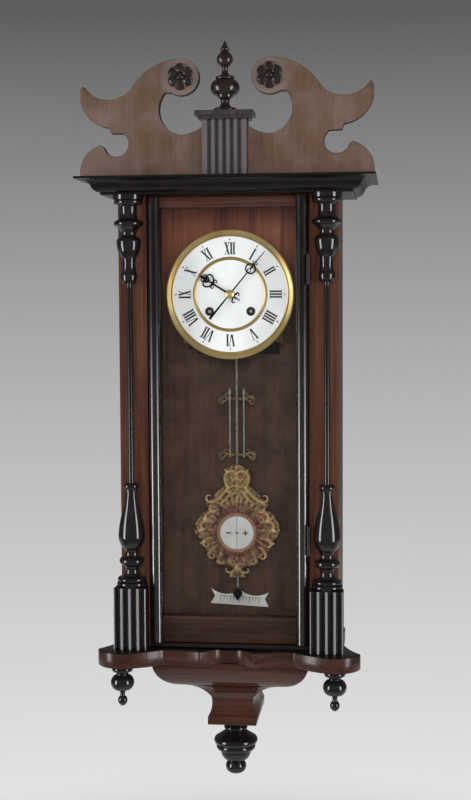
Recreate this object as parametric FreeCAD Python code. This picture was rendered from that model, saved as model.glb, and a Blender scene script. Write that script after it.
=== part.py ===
import FreeCAD, Part
import math
import os

V = FreeCAD.Vector

# Wall clock in millimetres. X runs to the right, Y into the wall, Z up.
# The origin is the hanging hole on the wall plane; "depth" below is the distance out from the wall.

# Case
case_half = 147.0
case_height = 609.0
hanger_drop = 40.0
side_thick = 14.0
back_thick = 12.0
stile_width = 38.5
stile_thick = 18.0

# Cornice and crest
cornice_height = 22.7
cornice_foot = 20.0
cornice_spread = 29.7
cornice_lip = 2.8
crest_set_in = 2.7
crest_thick = 14.0
plinth_half = 29.5
plinth_height = 72.3
plinth_thick = 14.0
plinth_flute = 2.6
cap_half = 38.0
cap_height = 11.0
finial_height = 91.0
finial_radius = 19.0
rosette_x = 58.4
rosette_rise = 129.3
rosette_petal = 6.0
rosette_thick = 9.0

# Columns, blocks, shelf and corbel
column_inset = 15.0
column_bury = 3.0
shaft_radius = 3.75
turning_radius = 20.5
baluster_height = 140.0
capital_height = 117.0
block_half = 22.0
block_height = 84.0
block_thick = 26.0
block_flute = 3.9
block_flutes = 4
shelf_ear = 30.0
shelf_thick = 21.0
shelf_reach = 44.0
drop_inset = 34.0
drop_set_back = 21.0
drop_height = 55.5
drop_radius = 15.8
corbel_half = 107.0
corbel_height = 92.0
corbel_neck = 28.5
corbel_foot = 33.6
corbel_depth = 118.0
pendant_depth = 72.0
pendant_height = 82.0
pendant_radius = 30.4

# Door
door_thick = 16.0
door_gap = 1.6
door_stile = 15.9
door_lift = 7.0
door_head = 3.0
bottom_rail = 36.0
top_rail = 14.0
glass_thick = 3.0
glass_seat = 4.0
hinge_height = 40.0
hinge_radius = 2.5
hinge_pin = 1.2
hinge_drop = (120.0, 480.0)

# Hanging plate
hanger_hole = 5.0
hanger_slot = 2.5
hanger_rise = 12.0
hanger_half = 20.0
hanger_thick = 2.5
hanger_pocket = 6.5

# Dial and hands
dial_drop = 132.0
bezel_radius = 87.5
bezel_width = 10.0
bezel_lap = 3.5
enamel_thick = 2.0
ring_outer = 50.5
ring_inner = 46.0
minute_length = 75.0
hour_length = 48.0
minute_turn = 39.7
hour_turn = 302.0
hand_thick = 1.0

# Movement
pendulum_depth = 40.0
plate_standoff = 12.0
plate_thick = 2.2
plate_space = 46.0
plate_half = 54.0
plate_top = 68.0
plate_bottom = -66.0
pillar_radius = 4.0
pivot_radius = 1.0
arbor_radius = 1.4
centre_radius = 2.0
cannon_seat = 1.25
cannon_pipe = 2.4
hour_pipe = 3.4
run_fit = 0.09
end_shake = 0.4
wind_x = 28.0
wind_z = -23.0
wind_radius = 3.0
wind_pivot = 2.4
wind_square = 3.3
barrel_radius = 22.5
backlash = 0.18
escape_radius = 15.0
escape_teeth = 30
escape_z = 30.0
anchor_rise = 21.2
pallet_gap = 1.2
crutch_length = 64.0
crutch_gap = 0.5
bracket_half = 58.5
bracket_thick = 3.0
thumb_radius = 2.0

# Teeth of the going train, the strike train and the motion work: wheel, pinion, module
GREAT = (78, 12, 0.62)
SECOND = (72, 8, 0.60)
CENTRE = (84, 8, 0.50)
THIRD = (74, 8, 0.45)
PIN = (56, 8, 0.50)
CANNON = (36, 12, 0.50)
HOUR = (40, 10, 0.48)

# Gong and hammer
gong_wire = 1.6
gong_pitch = 6.0
gong_start = 8.0
gong_half_turns = 14
gong_rise = 8.0
gong_depth = 22.0
hammer_radius = 5.0

# Pendulum and beat scale
bob_drop = 335.0
bob_thick = 6.0
bob_half = 60.5
roundel_radius = 23.5
rod_radius = 1.5
cross_drops = (145.4, 224.4)
side_rod_x = 9.9
side_rod_radius = 1.2
collar_wall = 1.4
pointer_drop = 414.0
pointer_height = 19.0
scale_drop = 434.0
scale_half = 42.0
scale_height = 22.0
scale_tilt = 3.0

# Levels that follow from the sizes above
top_z = hanger_drop
floor_z = top_z - case_height
dial_z = top_z - dial_drop
back_rear = pendulum_depth + plate_standoff
back_in = back_rear + plate_thick
front_in = back_in + plate_space
front_face = front_in + plate_thick
dial_back = front_face + 6.4
dial_seat = dial_back + 1.6
dial_face = dial_seat + enamel_thick
door_back = dial_face + 11.6
case_face = door_back + door_thick
bead_radius = door_stile / 2
opening_half = case_half - stile_width
door_half = opening_half - door_gap
glass_half = door_half - door_stile
glass_back = door_back + 5.0
door_bottom = floor_z + door_lift
door_top = top_z - door_head
column_x = case_half - column_inset
cornice_half = case_half + cornice_foot + cornice_spread
crest_half = cornice_half - crest_set_in
shelf_half = case_half + shelf_ear
shelf_front = case_face + shelf_reach
drop_x = shelf_half - drop_inset
drop_depth = shelf_front - drop_set_back
enamel_radius = bezel_radius - bezel_lap
crest_z = top_z + cornice_height
crest_back = case_face + 1.0
crest_face = crest_back + crest_thick
hinge_x = opening_half - door_gap / 2
hinge_depth = case_face + bead_radius - 0.4
pivot_z = escape_z + anchor_rise

parts = {}


def in_front(a, b):
    """Point of an outline drawn as seen from the front."""
    return V(a, 0, b)


def in_plan(a, b):
    """Point of an outline drawn as seen from above, with depth out from the wall."""
    return V(a, -b, 0)


def in_side(a, b):
    """Point of an outline drawn as depth and height."""
    return V(0, -a, b)


def outline(start, steps, place):
    """Closed face from a start point, lines (a, b) and arcs (via a, via b, a, b)."""
    edges = []
    here = start
    for step in list(steps) + [start]:
        there = step[-2:]
        if place(*here).isEqual(place(*there), 1e-7):
            continue
        if len(step) == 4:
            edges.append(Part.Arc(place(*here), place(*step[:2]), place(*there)).toShape())
        else:
            edges.append(Part.LineSegment(place(*here), place(*there)).toShape())
        here = there
    return Part.Face(Part.Wire(edges))


def mirrored(start, steps):
    """Steps of a whole outline from its right half, which begins and ends on the centre line."""
    points = [start] + [step[-2:] for step in steps]
    back = []
    for index in range(len(steps) - 1, -1, -1):
        step = steps[index]
        end = points[index]
        if len(step) == 4:
            back.append((-step[0], step[1], -end[0], end[1]))
        else:
            back.append((-end[0], end[1]))
    return list(steps) + back


def box(x0, x1, d0, d1, z0, z1):
    return Part.makeBox(x1 - x0, d1 - d0, z1 - z0, V(x0, -d1, z0))


def rod(x, z, radius, d0, d1):
    """Round bar along the depth."""
    return Part.makeCylinder(radius, d1 - d0, V(x, -d0, z), V(0, -1, 0))


def post(x, depth, radius, z0, z1):
    return Part.makeCylinder(radius, z1 - z0, V(x, -depth, z0))


def slab(face, d0, d1):
    """Outline drawn from the front, given thickness between two depths."""
    solid = face.extrude(V(0, d0 - d1, 0))
    solid.translate(V(0, -d0, 0))
    return solid


def joined(shapes):
    solid = shapes[0]
    for shape in shapes[1:]:
        solid = solid.fuse(shape)
    return solid.removeSplitter()


def turned(steps, height, radius, x, depth, z):
    """Turning from steps of height and radius, both as shares of the given sizes."""
    scaled = []
    for step in steps:
        pairs = [(step[i + 1] * radius, step[i] * height) for i in range(0, len(step), 2)]
        scaled.append(tuple(value for pair in pairs for value in pair))
    start = (0.0, scaled[0][-1])
    solid = outline(start, scaled + [(0.0, scaled[-1][-1])], in_front).revolve(V(), V(0, 0, 1), 360)
    solid.translate(V(x, -depth, z))
    return solid


def spun(start, steps, x, z):
    """Ring turned about the depth axis from an outline of radius and depth."""
    solid = outline(start, steps, in_plan).revolve(V(), V(0, 1, 0), 360)
    solid.translate(V(x, 0, z))
    return solid


def pair(solid):
    """The piece and its mirror image on the left."""
    return Part.Compound([solid, solid.mirror(V(), V(1, 0, 0))])


def ring_wire(x, z, radius):
    return Part.Wire([Part.Circle(V(x, 0, z), V(0, 1, 0), radius).toShape()])


def polygon(points):
    ends = [V(x, 0, z) for x, z in points]
    return Part.Wire([Part.makePolygon(ends + ends[:1])])


def pierced(rim, holes):
    """Face inside a rim, with the given holes."""
    face = Part.Face(rim)
    for hole in holes:
        face = face.cut(Part.Face(hole))
    return face.Faces[0]


def annulus(x, z, outer, inner):
    """Flat ring seen from the front."""
    return pierced(ring_wire(x, z, outer), [ring_wire(x, z, inner)])


def involute(angle):
    return math.tan(angle) - angle


def gear_points(teeth, module, phase, x, z):
    """Corner points of a gear whose tooth centre lies at the phase angle."""
    pressure = math.radians(25)
    pitch = teeth * module / 2
    base = pitch * math.cos(pressure)
    root = pitch - module
    tip = pitch + 0.75 * module
    half = (math.pi * module / 2 - backlash / 2) / (2 * pitch)
    radii = [root] if root > base else [root, base]
    radii += [(max(root, base) + pitch) / 2, pitch, (pitch + tip) / 2, tip]

    def lean(radius):
        return half + involute(pressure) - involute(math.acos(min(1.0, base / radius)))

    points = []
    for tooth in range(teeth):
        centre = phase + 2 * math.pi * tooth / teeth
        flank = [(radius, lean(radius)) for radius in radii]
        for radius, angle in [(r, -a) for r, a in flank] + flank[::-1]:
            points.append((x + radius * math.cos(centre + angle), z + radius * math.sin(centre + angle)))
    return points


def gear(teeth, module, phase, spot, d0, d1, crossed=False):
    """Toothed wheel, with five round windows when it is crossed out."""
    x, z = spot
    pitch = teeth * module / 2
    spots = [polar(spot, 0.58 * pitch, 72 * arm) for arm in range(5 if crossed else 0)]
    windows = [ring_wire(a, b, 0.24 * pitch) for a, b in spots]
    return slab(pierced(polygon(gear_points(teeth, module, phase, x, z)), windows), d0, d1)


def meshed(a, a_phase, a_teeth, b, b_teeth):
    """Phase of gear b that puts its gaps opposite the teeth of gear a."""
    line = math.atan2(b[1] - a[1], b[0] - a[0])
    share = (line - a_phase) * a_teeth / (2 * math.pi)
    return line + math.pi - 2 * math.pi / b_teeth * (0.5 - share)


def reach(size):
    """Distance between the axes of a wheel and the pinion it drives."""
    wheel, pinion, module = size
    return (wheel + pinion) * module / 2


def meet(a, ra, b, rb, side):
    """Point at the two given distances from a and b, on the chosen side of the line between them."""
    dx = b[0] - a[0]
    dz = b[1] - a[1]
    span = math.hypot(dx, dz)
    along = (ra * ra - rb * rb + span * span) / (2 * span)
    off = side * math.sqrt(ra * ra - along * along)
    return (a[0] + (along * dx - off * dz) / span, a[1] + (along * dz + off * dx) / span)


def polar(a, radius, degrees):
    angle = math.radians(degrees)
    return (a[0] + radius * math.cos(angle), a[1] + radius * math.sin(angle))


def behind(depth):
    """Depth of a plane measured back from the inside of the front plate."""
    return front_in - depth


def shift(name):
    """Moves a movement piece, drawn about the dial centre, to its height on the case."""
    parts[name].translate(V(0, 0, dial_z))


# Case boards
def case_boards():
    board = box(side_thick - case_half, case_half - side_thick, 0, back_thick, floor_z, top_z)
    pocket = box(-hanger_half, hanger_half, 0, hanger_thick, -hanger_half, hanger_half + hanger_rise)
    room = 1.6 * hanger_hole
    hollow = box(-room, room, hanger_thick, hanger_thick + hanger_pocket, -room, room + hanger_rise)
    parts["backboard"] = board.cut(pocket).cut(hollow)
    stile_back = case_face - stile_thick
    parts["side_panels"] = pair(box(case_half - side_thick, case_half, 0, stile_back, floor_z, top_z))
    parts["front_stiles"] = pair(box(opening_half, case_half, stile_back, case_face, floor_z, top_z))
    keyhole = [rod(0, 0, hanger_hole, 0, hanger_thick), rod(0, hanger_rise, hanger_slot, 0, hanger_thick)]
    keyhole.append(box(-hanger_slot, hanger_slot, 0, hanger_thick, 0, hanger_rise))
    parts["hanger_plate"] = pocket.cut(joined(keyhole))


# Cornice: one moulding on the front and both ends, mitred at the corners
def moulding(base):
    """Right-hand profile of the cornice beyond the given base line."""
    rise = cornice_height - cornice_lip
    out = cornice_spread
    return [
        (base, top_z),
        (base, top_z + 0.15 * rise),
        (base + 0.22 * out, top_z + 0.27 * rise, base + 0.36 * out, top_z + 0.56 * rise),
        (base + 0.49 * out, top_z + 0.85 * rise, base + 0.71 * out, top_z + rise),
        (base + out, top_z + rise),
        (base + out, top_z + cornice_height),
    ]


def cornice():
    ends = moulding(case_half + cornice_foot)
    across = outline((0, top_z), mirrored((0, top_z), ends + [(0, crest_z)]), in_front)
    front = moulding(case_face + cornice_foot - 2.0)
    along = outline((0, top_z), front + [(0, crest_z)], in_side)
    length = along.extrude(V(2 * cornice_half, 0, 0))
    length.translate(V(-cornice_half, 0, 0))
    parts["cornice"] = slab(across, 0, case_face + cornice_foot + cornice_spread).common(length)


# Crest: scrolled board with rosettes, and a fluted plinth that carries a turned finial
def crest_board():
    w = crest_half
    z = crest_z
    scroll = 24.0
    rise = z + rosette_rise
    end = math.radians(-57)
    curl = (rosette_x + scroll * math.cos(end), rise + scroll * math.sin(end))
    steps = [
        (w, z),
        (0.969 * w, z + 28, 0.856 * w, z + 43),
        (0.832 * w, z + 39),
        (0.722 * w, z + 28.5, 0.698 * w, z + 57),
        (0.784 * w, z + 57.5),
        (0.799 * w, z + 65),
        (0.925 * w, z + 76, 0.997 * w, z + 101),
        (0.997 * w, z + 115),
        (0.977 * w, z + 120.5),
        (0.812 * w, z + 102, 0.650 * w, z + 114),
        (0.505 * w, z + 142.5, rosette_x, rise + scroll),
        (rosette_x - scroll, rise, rosette_x, rise - scroll),
        (rosette_x + 0.30 * scroll, rise - 0.954 * scroll, curl[0], curl[1]),
        (curl[0] + 8.5, curl[1]),
        (86.5, z + 78, 58.5, z + 54.5),
        (42.0, z + 58.5, plinth_half, z + 66),
        (plinth_half, z + plinth_height),
        (0, z + plinth_height),
    ]
    face = outline((0, z), mirrored((0, z), steps), in_front)
    parts["pediment_board"] = slab(face, crest_back, crest_face)
    flower = [rod(rosette_x, rise, 1.5 * rosette_petal, crest_face, crest_face + 0.7 * rosette_thick)]
    for petal in range(6):
        spot = polar((rosette_x, rise), 1.8 * rosette_petal, 60 * petal + 30)
        flower.append(rod(spot[0], spot[1], rosette_petal, crest_face, crest_face + 0.8 * rosette_thick))
    flower.append(rod(rosette_x, rise, 0.6 * rosette_petal, crest_face, crest_face + rosette_thick))
    parts["rosettes"] = pair(joined(flower))


def crest_plinth():
    plinth_top = crest_z + plinth_height
    face = crest_face + plinth_thick
    block = box(-plinth_half, plinth_half, crest_face, face, crest_z, plinth_top)
    pitch = 2 * plinth_half / 6
    flutes = [post((i - 2) * pitch, face, plinth_flute, crest_z, plinth_top) for i in range(5)]
    parts["crest_plinth"] = block.cut(Part.Compound(flutes))
    cap_top = plinth_top + cap_height
    step = plinth_top + 0.4 * cap_height
    rim = cap_half - plinth_half
    low = box(4 - cap_half, cap_half - 4, crest_face - rim - 8, face + rim - 5.5, plinth_top, step)
    high = box(-cap_half, cap_half, crest_face - rim - 12, face + rim - 1.5, step, cap_top)
    parts["crest_cap"] = joined([low, high])
    steps = [
        (0.0, 0.72),
        (0.025, 0.80, 0.05, 0.72),
        (0.06, 0.50),
        (0.145, 0.30, 0.20, 0.52),
        (0.235, 0.55),
        (0.235, 0.76),
        (0.345, 1.0, 0.44, 0.76),
        (0.45, 0.58),
        (0.475, 0.66, 0.50, 0.58),
        (0.52, 0.32),
        (0.585, 0.20, 0.645, 0.32),
        (0.66, 0.40),
        (0.745, 0.56, 0.83, 0.34),
        (0.86, 0.24),
        (0.885, 0.32, 0.91, 0.22),
        (1.0, 0.04),
    ]
    parts["crest_finial"] = turned(steps, finial_height, finial_radius, 0, crest_face, cap_top)


# Half columns on fluted blocks
def columns():
    low = baluster_height
    high = capital_height
    start = floor_z + block_height
    span = top_z - start
    foot = [
        (0.0, 0.94),
        (0.022, 1.0, 0.045, 0.94),
        (0.045, 0.86),
        (0.068, 0.95, 0.092, 0.84),
        (0.10, 0.60),
        (0.153, 0.46, 0.205, 0.58),
        (0.205, 0.63),
        (0.247, 0.83, 0.285, 0.64),
        (0.29, 0.52),
        (0.325, 0.46, 0.36, 0.54),
        (0.42, 0.79, 0.50, 0.88),
        (0.60, 0.80, 0.70, 0.66),
        (0.80, 0.49, 0.89, 0.385),
        (0.94, 0.42),
        (0.97, 0.54, 1.0, 0.42),
    ]
    head = [
        (0.0, 0.42),
        (0.075, 0.55, 0.135, 0.47),
        (0.215, 0.425, 0.285, 0.47),
        (0.36, 0.69, 0.457, 0.79),
        (0.508, 0.74, 0.535, 0.52),
        (0.575, 0.50, 0.61, 0.62),
        (0.645, 0.78),
        (0.682, 0.96, 0.715, 0.80),
        (0.735, 0.62),
        (0.80, 0.565, 0.87, 0.58),
        (0.895, 0.64),
        (0.895, 0.88),
        (0.922, 0.95, 0.95, 0.88),
        (0.95, 1.0),
        (1.0, 1.0),
    ]

    def share(step, base, height):
        return tuple((base + v * height) / span if i % 2 == 0 else v for i, v in enumerate(step))

    thin = shaft_radius / turning_radius
    steps = [share(step, 0, low) for step in foot]
    steps += [(low / span, thin), ((span - high) / span, thin)]
    steps += [share(step, span - high, high) for step in head]
    depth = case_face + column_bury
    solid = turned(steps, span, turning_radius, column_x, depth, start)
    reach_out = 2 * turning_radius
    keep = box(column_x - reach_out, column_x + reach_out, case_face, case_face + reach_out, start, top_z)
    right = solid.common(keep)
    parts["column_right"] = right
    parts["column_left"] = right.mirror(V(), V(1, 0, 0))
    face = case_face + block_thick
    block = box(column_x - block_half, column_x + block_half, case_face, face, floor_z, start)
    pitch = 2 * block_half / block_flutes
    middle = (block_flutes - 1) / 2
    places = [column_x + (i - middle) * pitch for i in range(block_flutes)]
    flutes = [post(x, face, block_flute, floor_z, start) for x in places]
    parts["fluted_blocks"] = pair(block.cut(Part.Compound(flutes)))


# Shelf with eared corners, a sill for the door, turned drops, corbel and pendant
def shelf():
    w = shelf_half
    front = shelf_front
    steps = [
        (0.068 * w, front - 41.5, 0.113 * w, front - 36),
        (0.203 * w, front - 17),
        (0.31 * w, front - 24, 0.497 * w, front - 27),
        (0.61 * w, front - 11.5, 0.75 * w, front),
        (0.91 * w, front - 3.5, w, front - 27),
        (0.905 * w, front - 56, 0.85 * w, front - 92),
        (0.85 * w, 0),
        (0, 0),
    ]
    plan = outline((0, front - 43), mirrored((0, front - 43), steps), in_plan)
    board = plan.extrude(V(0, 0, -shelf_thick))
    board.translate(V(0, 0, floor_z))
    sill = box(-opening_half, opening_half, door_back, case_face, floor_z, door_bottom - 1.5)
    parts["shelf"] = joined([board, sill])


def corbel():
    high = floor_z - shelf_thick
    h = corbel_height

    def ogee(neck, top, foot):
        swell = top - neck
        return [
            (top, high),
            (neck + 0.90 * swell, high - 0.224 * h, neck + 0.592 * swell, high - 0.364 * h),
            (neck + 0.20 * swell, high - 0.455 * h, neck + 0.012 * swell, high - 0.60 * h),
            (neck, high - 0.70 * h, foot, high - 0.89 * h),
            (foot, high - h),
        ]

    sides = ogee(corbel_neck, corbel_half, corbel_foot) + [(0, high - h)]
    across = outline((0, high), mirrored((0, high), sides), in_front)
    neck = corbel_depth - 9.0
    fall = outline((0, high), ogee(neck, case_face + 3.0, corbel_depth) + [(0, high - h)], in_side)
    length = fall.extrude(V(2 * corbel_half, 0, 0))
    length.translate(V(-corbel_half, 0, 0))
    parts["corbel"] = slab(across, 0, case_face + 10.0).common(length)


def turned_drops():
    high = floor_z - shelf_thick
    drop = [
        (1.0, 0.70),
        (0.93, 0.90, 0.86, 0.82),
        (0.83, 0.56),
        (0.80, 0.50, 0.77, 0.56),
        (0.755, 0.70),
        (0.586, 1.0, 0.42, 0.72),
        (0.385, 0.42),
        (0.30, 0.20, 0.25, 0.24),
        (0.135, 0.41, 0.02, 0.16),
        (0.0, 0.04),
    ][::-1]
    low = high - drop_height
    parts["drop_finials"] = pair(turned(reverse(drop), drop_height, drop_radius, drop_x, drop_depth, low))
    pendant = [
        (1.0, 0.70),
        (0.94, 0.64, 0.875, 0.50),
        (0.85, 0.46),
        (0.815, 0.54, 0.775, 0.46),
        (0.745, 0.55),
        (0.665, 0.86),
        (0.605, 1.0, 0.545, 0.95),
        (0.525, 0.86),
        (0.475, 0.90, 0.43, 0.80),
        (0.41, 0.70),
        (0.32, 0.64, 0.245, 0.44),
        (0.225, 0.38),
        (0.12, 0.47, 0.015, 0.16),
        (0.0, 0.04),
    ][::-1]
    low = high - corbel_height - pendant_height
    parts["pendant"] = turned(reverse(pendant), pendant_height, pendant_radius, 0, pendant_depth, low)


def reverse(steps):
    """Turning steps listed from the bottom, for arcs that were written from the top."""
    points = [step[-2:] for step in steps]
    result = [points[0]]
    for index in range(1, len(steps)):
        via = steps[index - 1][:2] if len(steps[index - 1]) == 4 else ()
        result.append(via + points[index])
    return result


# Door with rounded stiles, rails, glass held in a groove, and butt hinges on the right
def door():
    low = door_bottom + bottom_rail
    high = door_top - top_rail
    seat = box(-glass_half - glass_seat, glass_half + glass_seat, glass_back, glass_back + glass_thick,
               low - glass_seat, high + glass_seat)
    profile = outline(
        (glass_half, door_back),
        [(door_half, door_back), (door_half, case_face),
         (glass_half + bead_radius, case_face + bead_radius, glass_half, case_face)],
        in_plan,
    )
    stile = profile.extrude(V(0, 0, door_top - door_bottom))
    stile.translate(V(0, 0, door_bottom))
    parts["door_stiles"] = pair(stile.cut(seat))
    parts["door_bottom_rail"] = box(-glass_half, glass_half, door_back, case_face, door_bottom, low).cut(seat)
    parts["door_top_rail"] = box(-glass_half, glass_half, door_back, case_face, high, door_top).cut(seat)
    parts["door_glass"] = seat


def hinges():
    third = hinge_height / 3
    leaf = door_gap / 2 - 0.15
    case_side = []
    door_side = []
    for drop in hinge_drop:
        z = top_z - drop
        levels = [z, z + third, z + 2 * third, z + hinge_height]
        swing = hinge_radius + 0.4
        ends = [post(hinge_x, hinge_depth, hinge_radius, levels[0], levels[1] - 0.15)]
        ends.append(post(hinge_x, hinge_depth, hinge_radius, levels[2] + 0.15, levels[3]))
        plate = box(opening_half - leaf, opening_half, door_back + 2, hinge_depth, levels[0], levels[3])
        plate = plate.cut(post(hinge_x, hinge_depth, swing, levels[1] - 0.15, levels[2] + 0.15))
        pin = post(hinge_x, hinge_depth, hinge_pin, levels[0], levels[3])
        case_side.append(joined([plate, pin] + ends))
        plate = box(door_half, door_half + leaf, door_back + 2, hinge_depth, levels[0], levels[3])
        plate = plate.cut(post(hinge_x, hinge_depth, swing, levels[0], levels[1] + 0.15))
        plate = plate.cut(post(hinge_x, hinge_depth, swing, levels[2] - 0.15, levels[3]))
        knuckle = post(hinge_x, hinge_depth, hinge_radius, levels[1] + 0.15, levels[2] - 0.15)
        bore = post(hinge_x, hinge_depth, hinge_pin + run_fit, levels[0], levels[3])
        door_side.append(joined([plate, knuckle]).cut(bore))
    parts["hinge_case_leaves"] = Part.Compound(case_side)
    parts["hinge_door_leaves"] = Part.Compound(door_side)


# Places of the arbors about the dial centre
HUB = (0.0, 0.0)
GOING = (wind_x, wind_z)
STRIKE = (-wind_x, wind_z)
SECOND_AT = meet(HUB, reach(SECOND), GOING, reach(GREAT), 1)
ESCAPE_AT = (0.0, escape_z)
THIRD_AT = meet(HUB, reach(CENTRE), ESCAPE_AT, reach(THIRD), 1)
ANCHOR_AT = (0.0, pivot_z)
PIN_AT = polar(STRIKE, reach(GREAT), 100)
FLY_AT = polar(PIN_AT, reach(PIN), 100)
HAMMER_AT = (-49.5, 0.0)
MINUTE_AT = polar(HUB, reach(CANNON), 60)
PILLARS = [(46.0, 60.0), (-46.0, 60.0), (47.0, -60.0), (-47.0, -60.0)]


def pivoted(spot):
    """Steel arbor with a pivot at each end, running in both plates."""
    x, z = spot
    body = rod(x, z, arbor_radius, back_in + end_shake, front_in - end_shake)
    return [body, rod(x, z, pivot_radius, back_rear, front_face)]


def plates():
    small = pivot_radius + run_fit
    through = arbor_radius + run_fit
    big = wind_pivot + run_fit
    shared = [(SECOND_AT, small), (THIRD_AT, small), (ESCAPE_AT, small), (PIN_AT, small), (FLY_AT, small)]
    shared += [(GOING, big), (STRIKE, big)]
    corner = 8.0
    rim = [
        (-plate_half, plate_bottom),
        (plate_half, plate_bottom),
        (plate_half, plate_top - corner),
        (plate_half - corner, plate_top),
        (corner - plate_half, plate_top),
        (-plate_half, plate_top - corner),
    ]
    ends = {
        "front_plate": (front_in, [(HUB, centre_radius + run_fit), (ANCHOR_AT, small), (HAMMER_AT, small)]),
        "back_plate": (back_rear, [(HUB, small), (ANCHOR_AT, through), (HAMMER_AT, through)]),
    }
    for name, (depth, own) in ends.items():
        holes = [ring_wire(spot[0], spot[1], radius) for spot, radius in shared + own]
        parts[name] = slab(pierced(polygon(rim), holes), depth, depth + plate_thick)
    stud = rod(MINUTE_AT[0], MINUTE_AT[1], arbor_radius, front_in + 0.5, front_face + 5.6)
    parts["front_plate"] = joined([parts["front_plate"], stud])
    parts["plate_pillars"] = Part.Compound([rod(x, z, pillar_radius, back_in, front_in) for x, z in PILLARS])


def suspension_cock():
    near = pendulum_depth - 4.0
    far = pendulum_depth + 4.0
    head = box(-8, 8, near, back_rear, pivot_z + 5, pivot_z + 13)
    cheeks = [box(-5, 5, rear, rear + 2, pivot_z - 4, pivot_z + 6) for rear in (near, far - 2)]
    parts["suspension_cock"] = joined([head, rod(0, pivot_z, pivot_radius, near, far)] + cheeks)


def bracket():
    low = plate_bottom - 8
    foot = box(-bracket_half, bracket_half, back_thick, back_thick + 4, plate_bottom - 18, plate_bottom + 8)
    pieces = [foot]
    screw_d = (back_in + front_in) / 2
    screw_z = PILLARS[2][1]
    inner = bracket_half - bracket_thick
    for side in (1, -1):
        a, b = sorted((side * inner, side * bracket_half))
        pieces.append(box(a, b, back_thick + 4, front_face - 4, low, plate_bottom + 12))
        a, b = sorted((side * (plate_half - 14), side * bracket_half))
        pieces.append(box(a, b, back_thick + 4, front_face, plate_bottom - 3, plate_bottom))
    start = V(-2 * bracket_half, -screw_d, screw_z)
    hole = Part.makeCylinder(thumb_radius + run_fit, 4 * bracket_half, start, V(1, 0, 0))
    parts["movement_bracket"] = joined(pieces).cut(hole)
    tip = PILLARS[2][0] + pillar_radius
    shank = Part.makeCylinder(thumb_radius, bracket_half - tip, V(tip, -screw_d, screw_z), V(1, 0, 0))
    collar = Part.makeCylinder(5.0, 2.0, V(bracket_half, -screw_d, screw_z), V(1, 0, 0))
    wing = box(bracket_half + 1, bracket_half + 10, screw_d - 1.2, screw_d + 1.2, screw_z - 6, screw_z + 6)
    parts["bracket_thumb_screws"] = pair(joined([shank, collar, wing]))


def gong():
    edges = []
    here = gong_start
    for turn in range(gong_half_turns):
        sign = 1 if turn % 2 == 0 else -1
        there = here + gong_pitch / 2
        middle = sign * (here - there) / 2
        radius = (here + there) / 2
        ends = (V(sign * here, 0, 0), V(middle, 0, sign * radius), V(-sign * there, 0, 0))
        edges.append(Part.Arc(*ends).toShape())
        here = there
    circle = Part.Wire([Part.Circle(V(gong_start, 0, 0), V(0, 0, 1), gong_wire).toShape()])
    coil = Part.Wire(edges).makePipeShell([circle], True, True)
    coil.translate(V(0, -gong_depth, gong_rise))
    parts["gong_coil"] = coil
    front = gong_depth + 4
    clamp = box(3, gong_start + 2, gong_depth - 4, front, gong_rise - 5, gong_rise)
    base = rod(0, gong_rise, 14, back_thick, back_thick + 4)
    parts["gong_stand"] = joined([base, rod(0, gong_rise, 4.8, back_thick, front), clamp])


def dial():
    feet = [(40.0, 36.0), (-40.0, 36.0), (0.0, -50.0)]
    hole = 6.0
    rim = ring_wire(0, 0, enamel_radius)
    eye = ring_wire(0, 0, 5.0)
    keys = [ring_wire(side * wind_x, wind_z, hole) for side in (1, -1)]
    parts["dial_enamel"] = slab(pierced(rim, [eye] + keys), dial_seat, dial_face)
    plate = slab(pierced(rim, [eye]), dial_back, dial_seat)
    collars = [rod(side * wind_x, wind_z, hole, dial_back, dial_face + 0.4) for side in (1, -1)]
    bores = [rod(side * wind_x, wind_z, hole - 1.2, dial_back, dial_face + 0.4) for side in (1, -1)]
    legs = [rod(x, z, 2.0, front_face, dial_back) for x, z in feet]
    parts["dial_plate"] = joined([plate] + collars + legs).cut(bores[0]).cut(bores[1])
    parts["dial_inner_ring"] = slab(annulus(0, 0, ring_outer, ring_inner), dial_face, dial_face + 1.2)
    inner = bezel_radius - bezel_width
    bore = enamel_radius + run_fit
    top = dial_face + 4.6
    steps = [
        (bezel_radius, dial_back),
        (bezel_radius, dial_face),
        (bezel_radius - 0.9, top - 1.2, bezel_radius - 3.2, top),
        (bezel_radius - 4.6, top),
        (bezel_radius - 5.2, top - 1.4),
        (inner + 1.6, top - 2.6, inner, dial_face + 0.8),
        (inner, dial_face),
        (bore, dial_face),
    ]
    parts["bezel"] = spun((bore, dial_back), steps, 0, 0)


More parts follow.
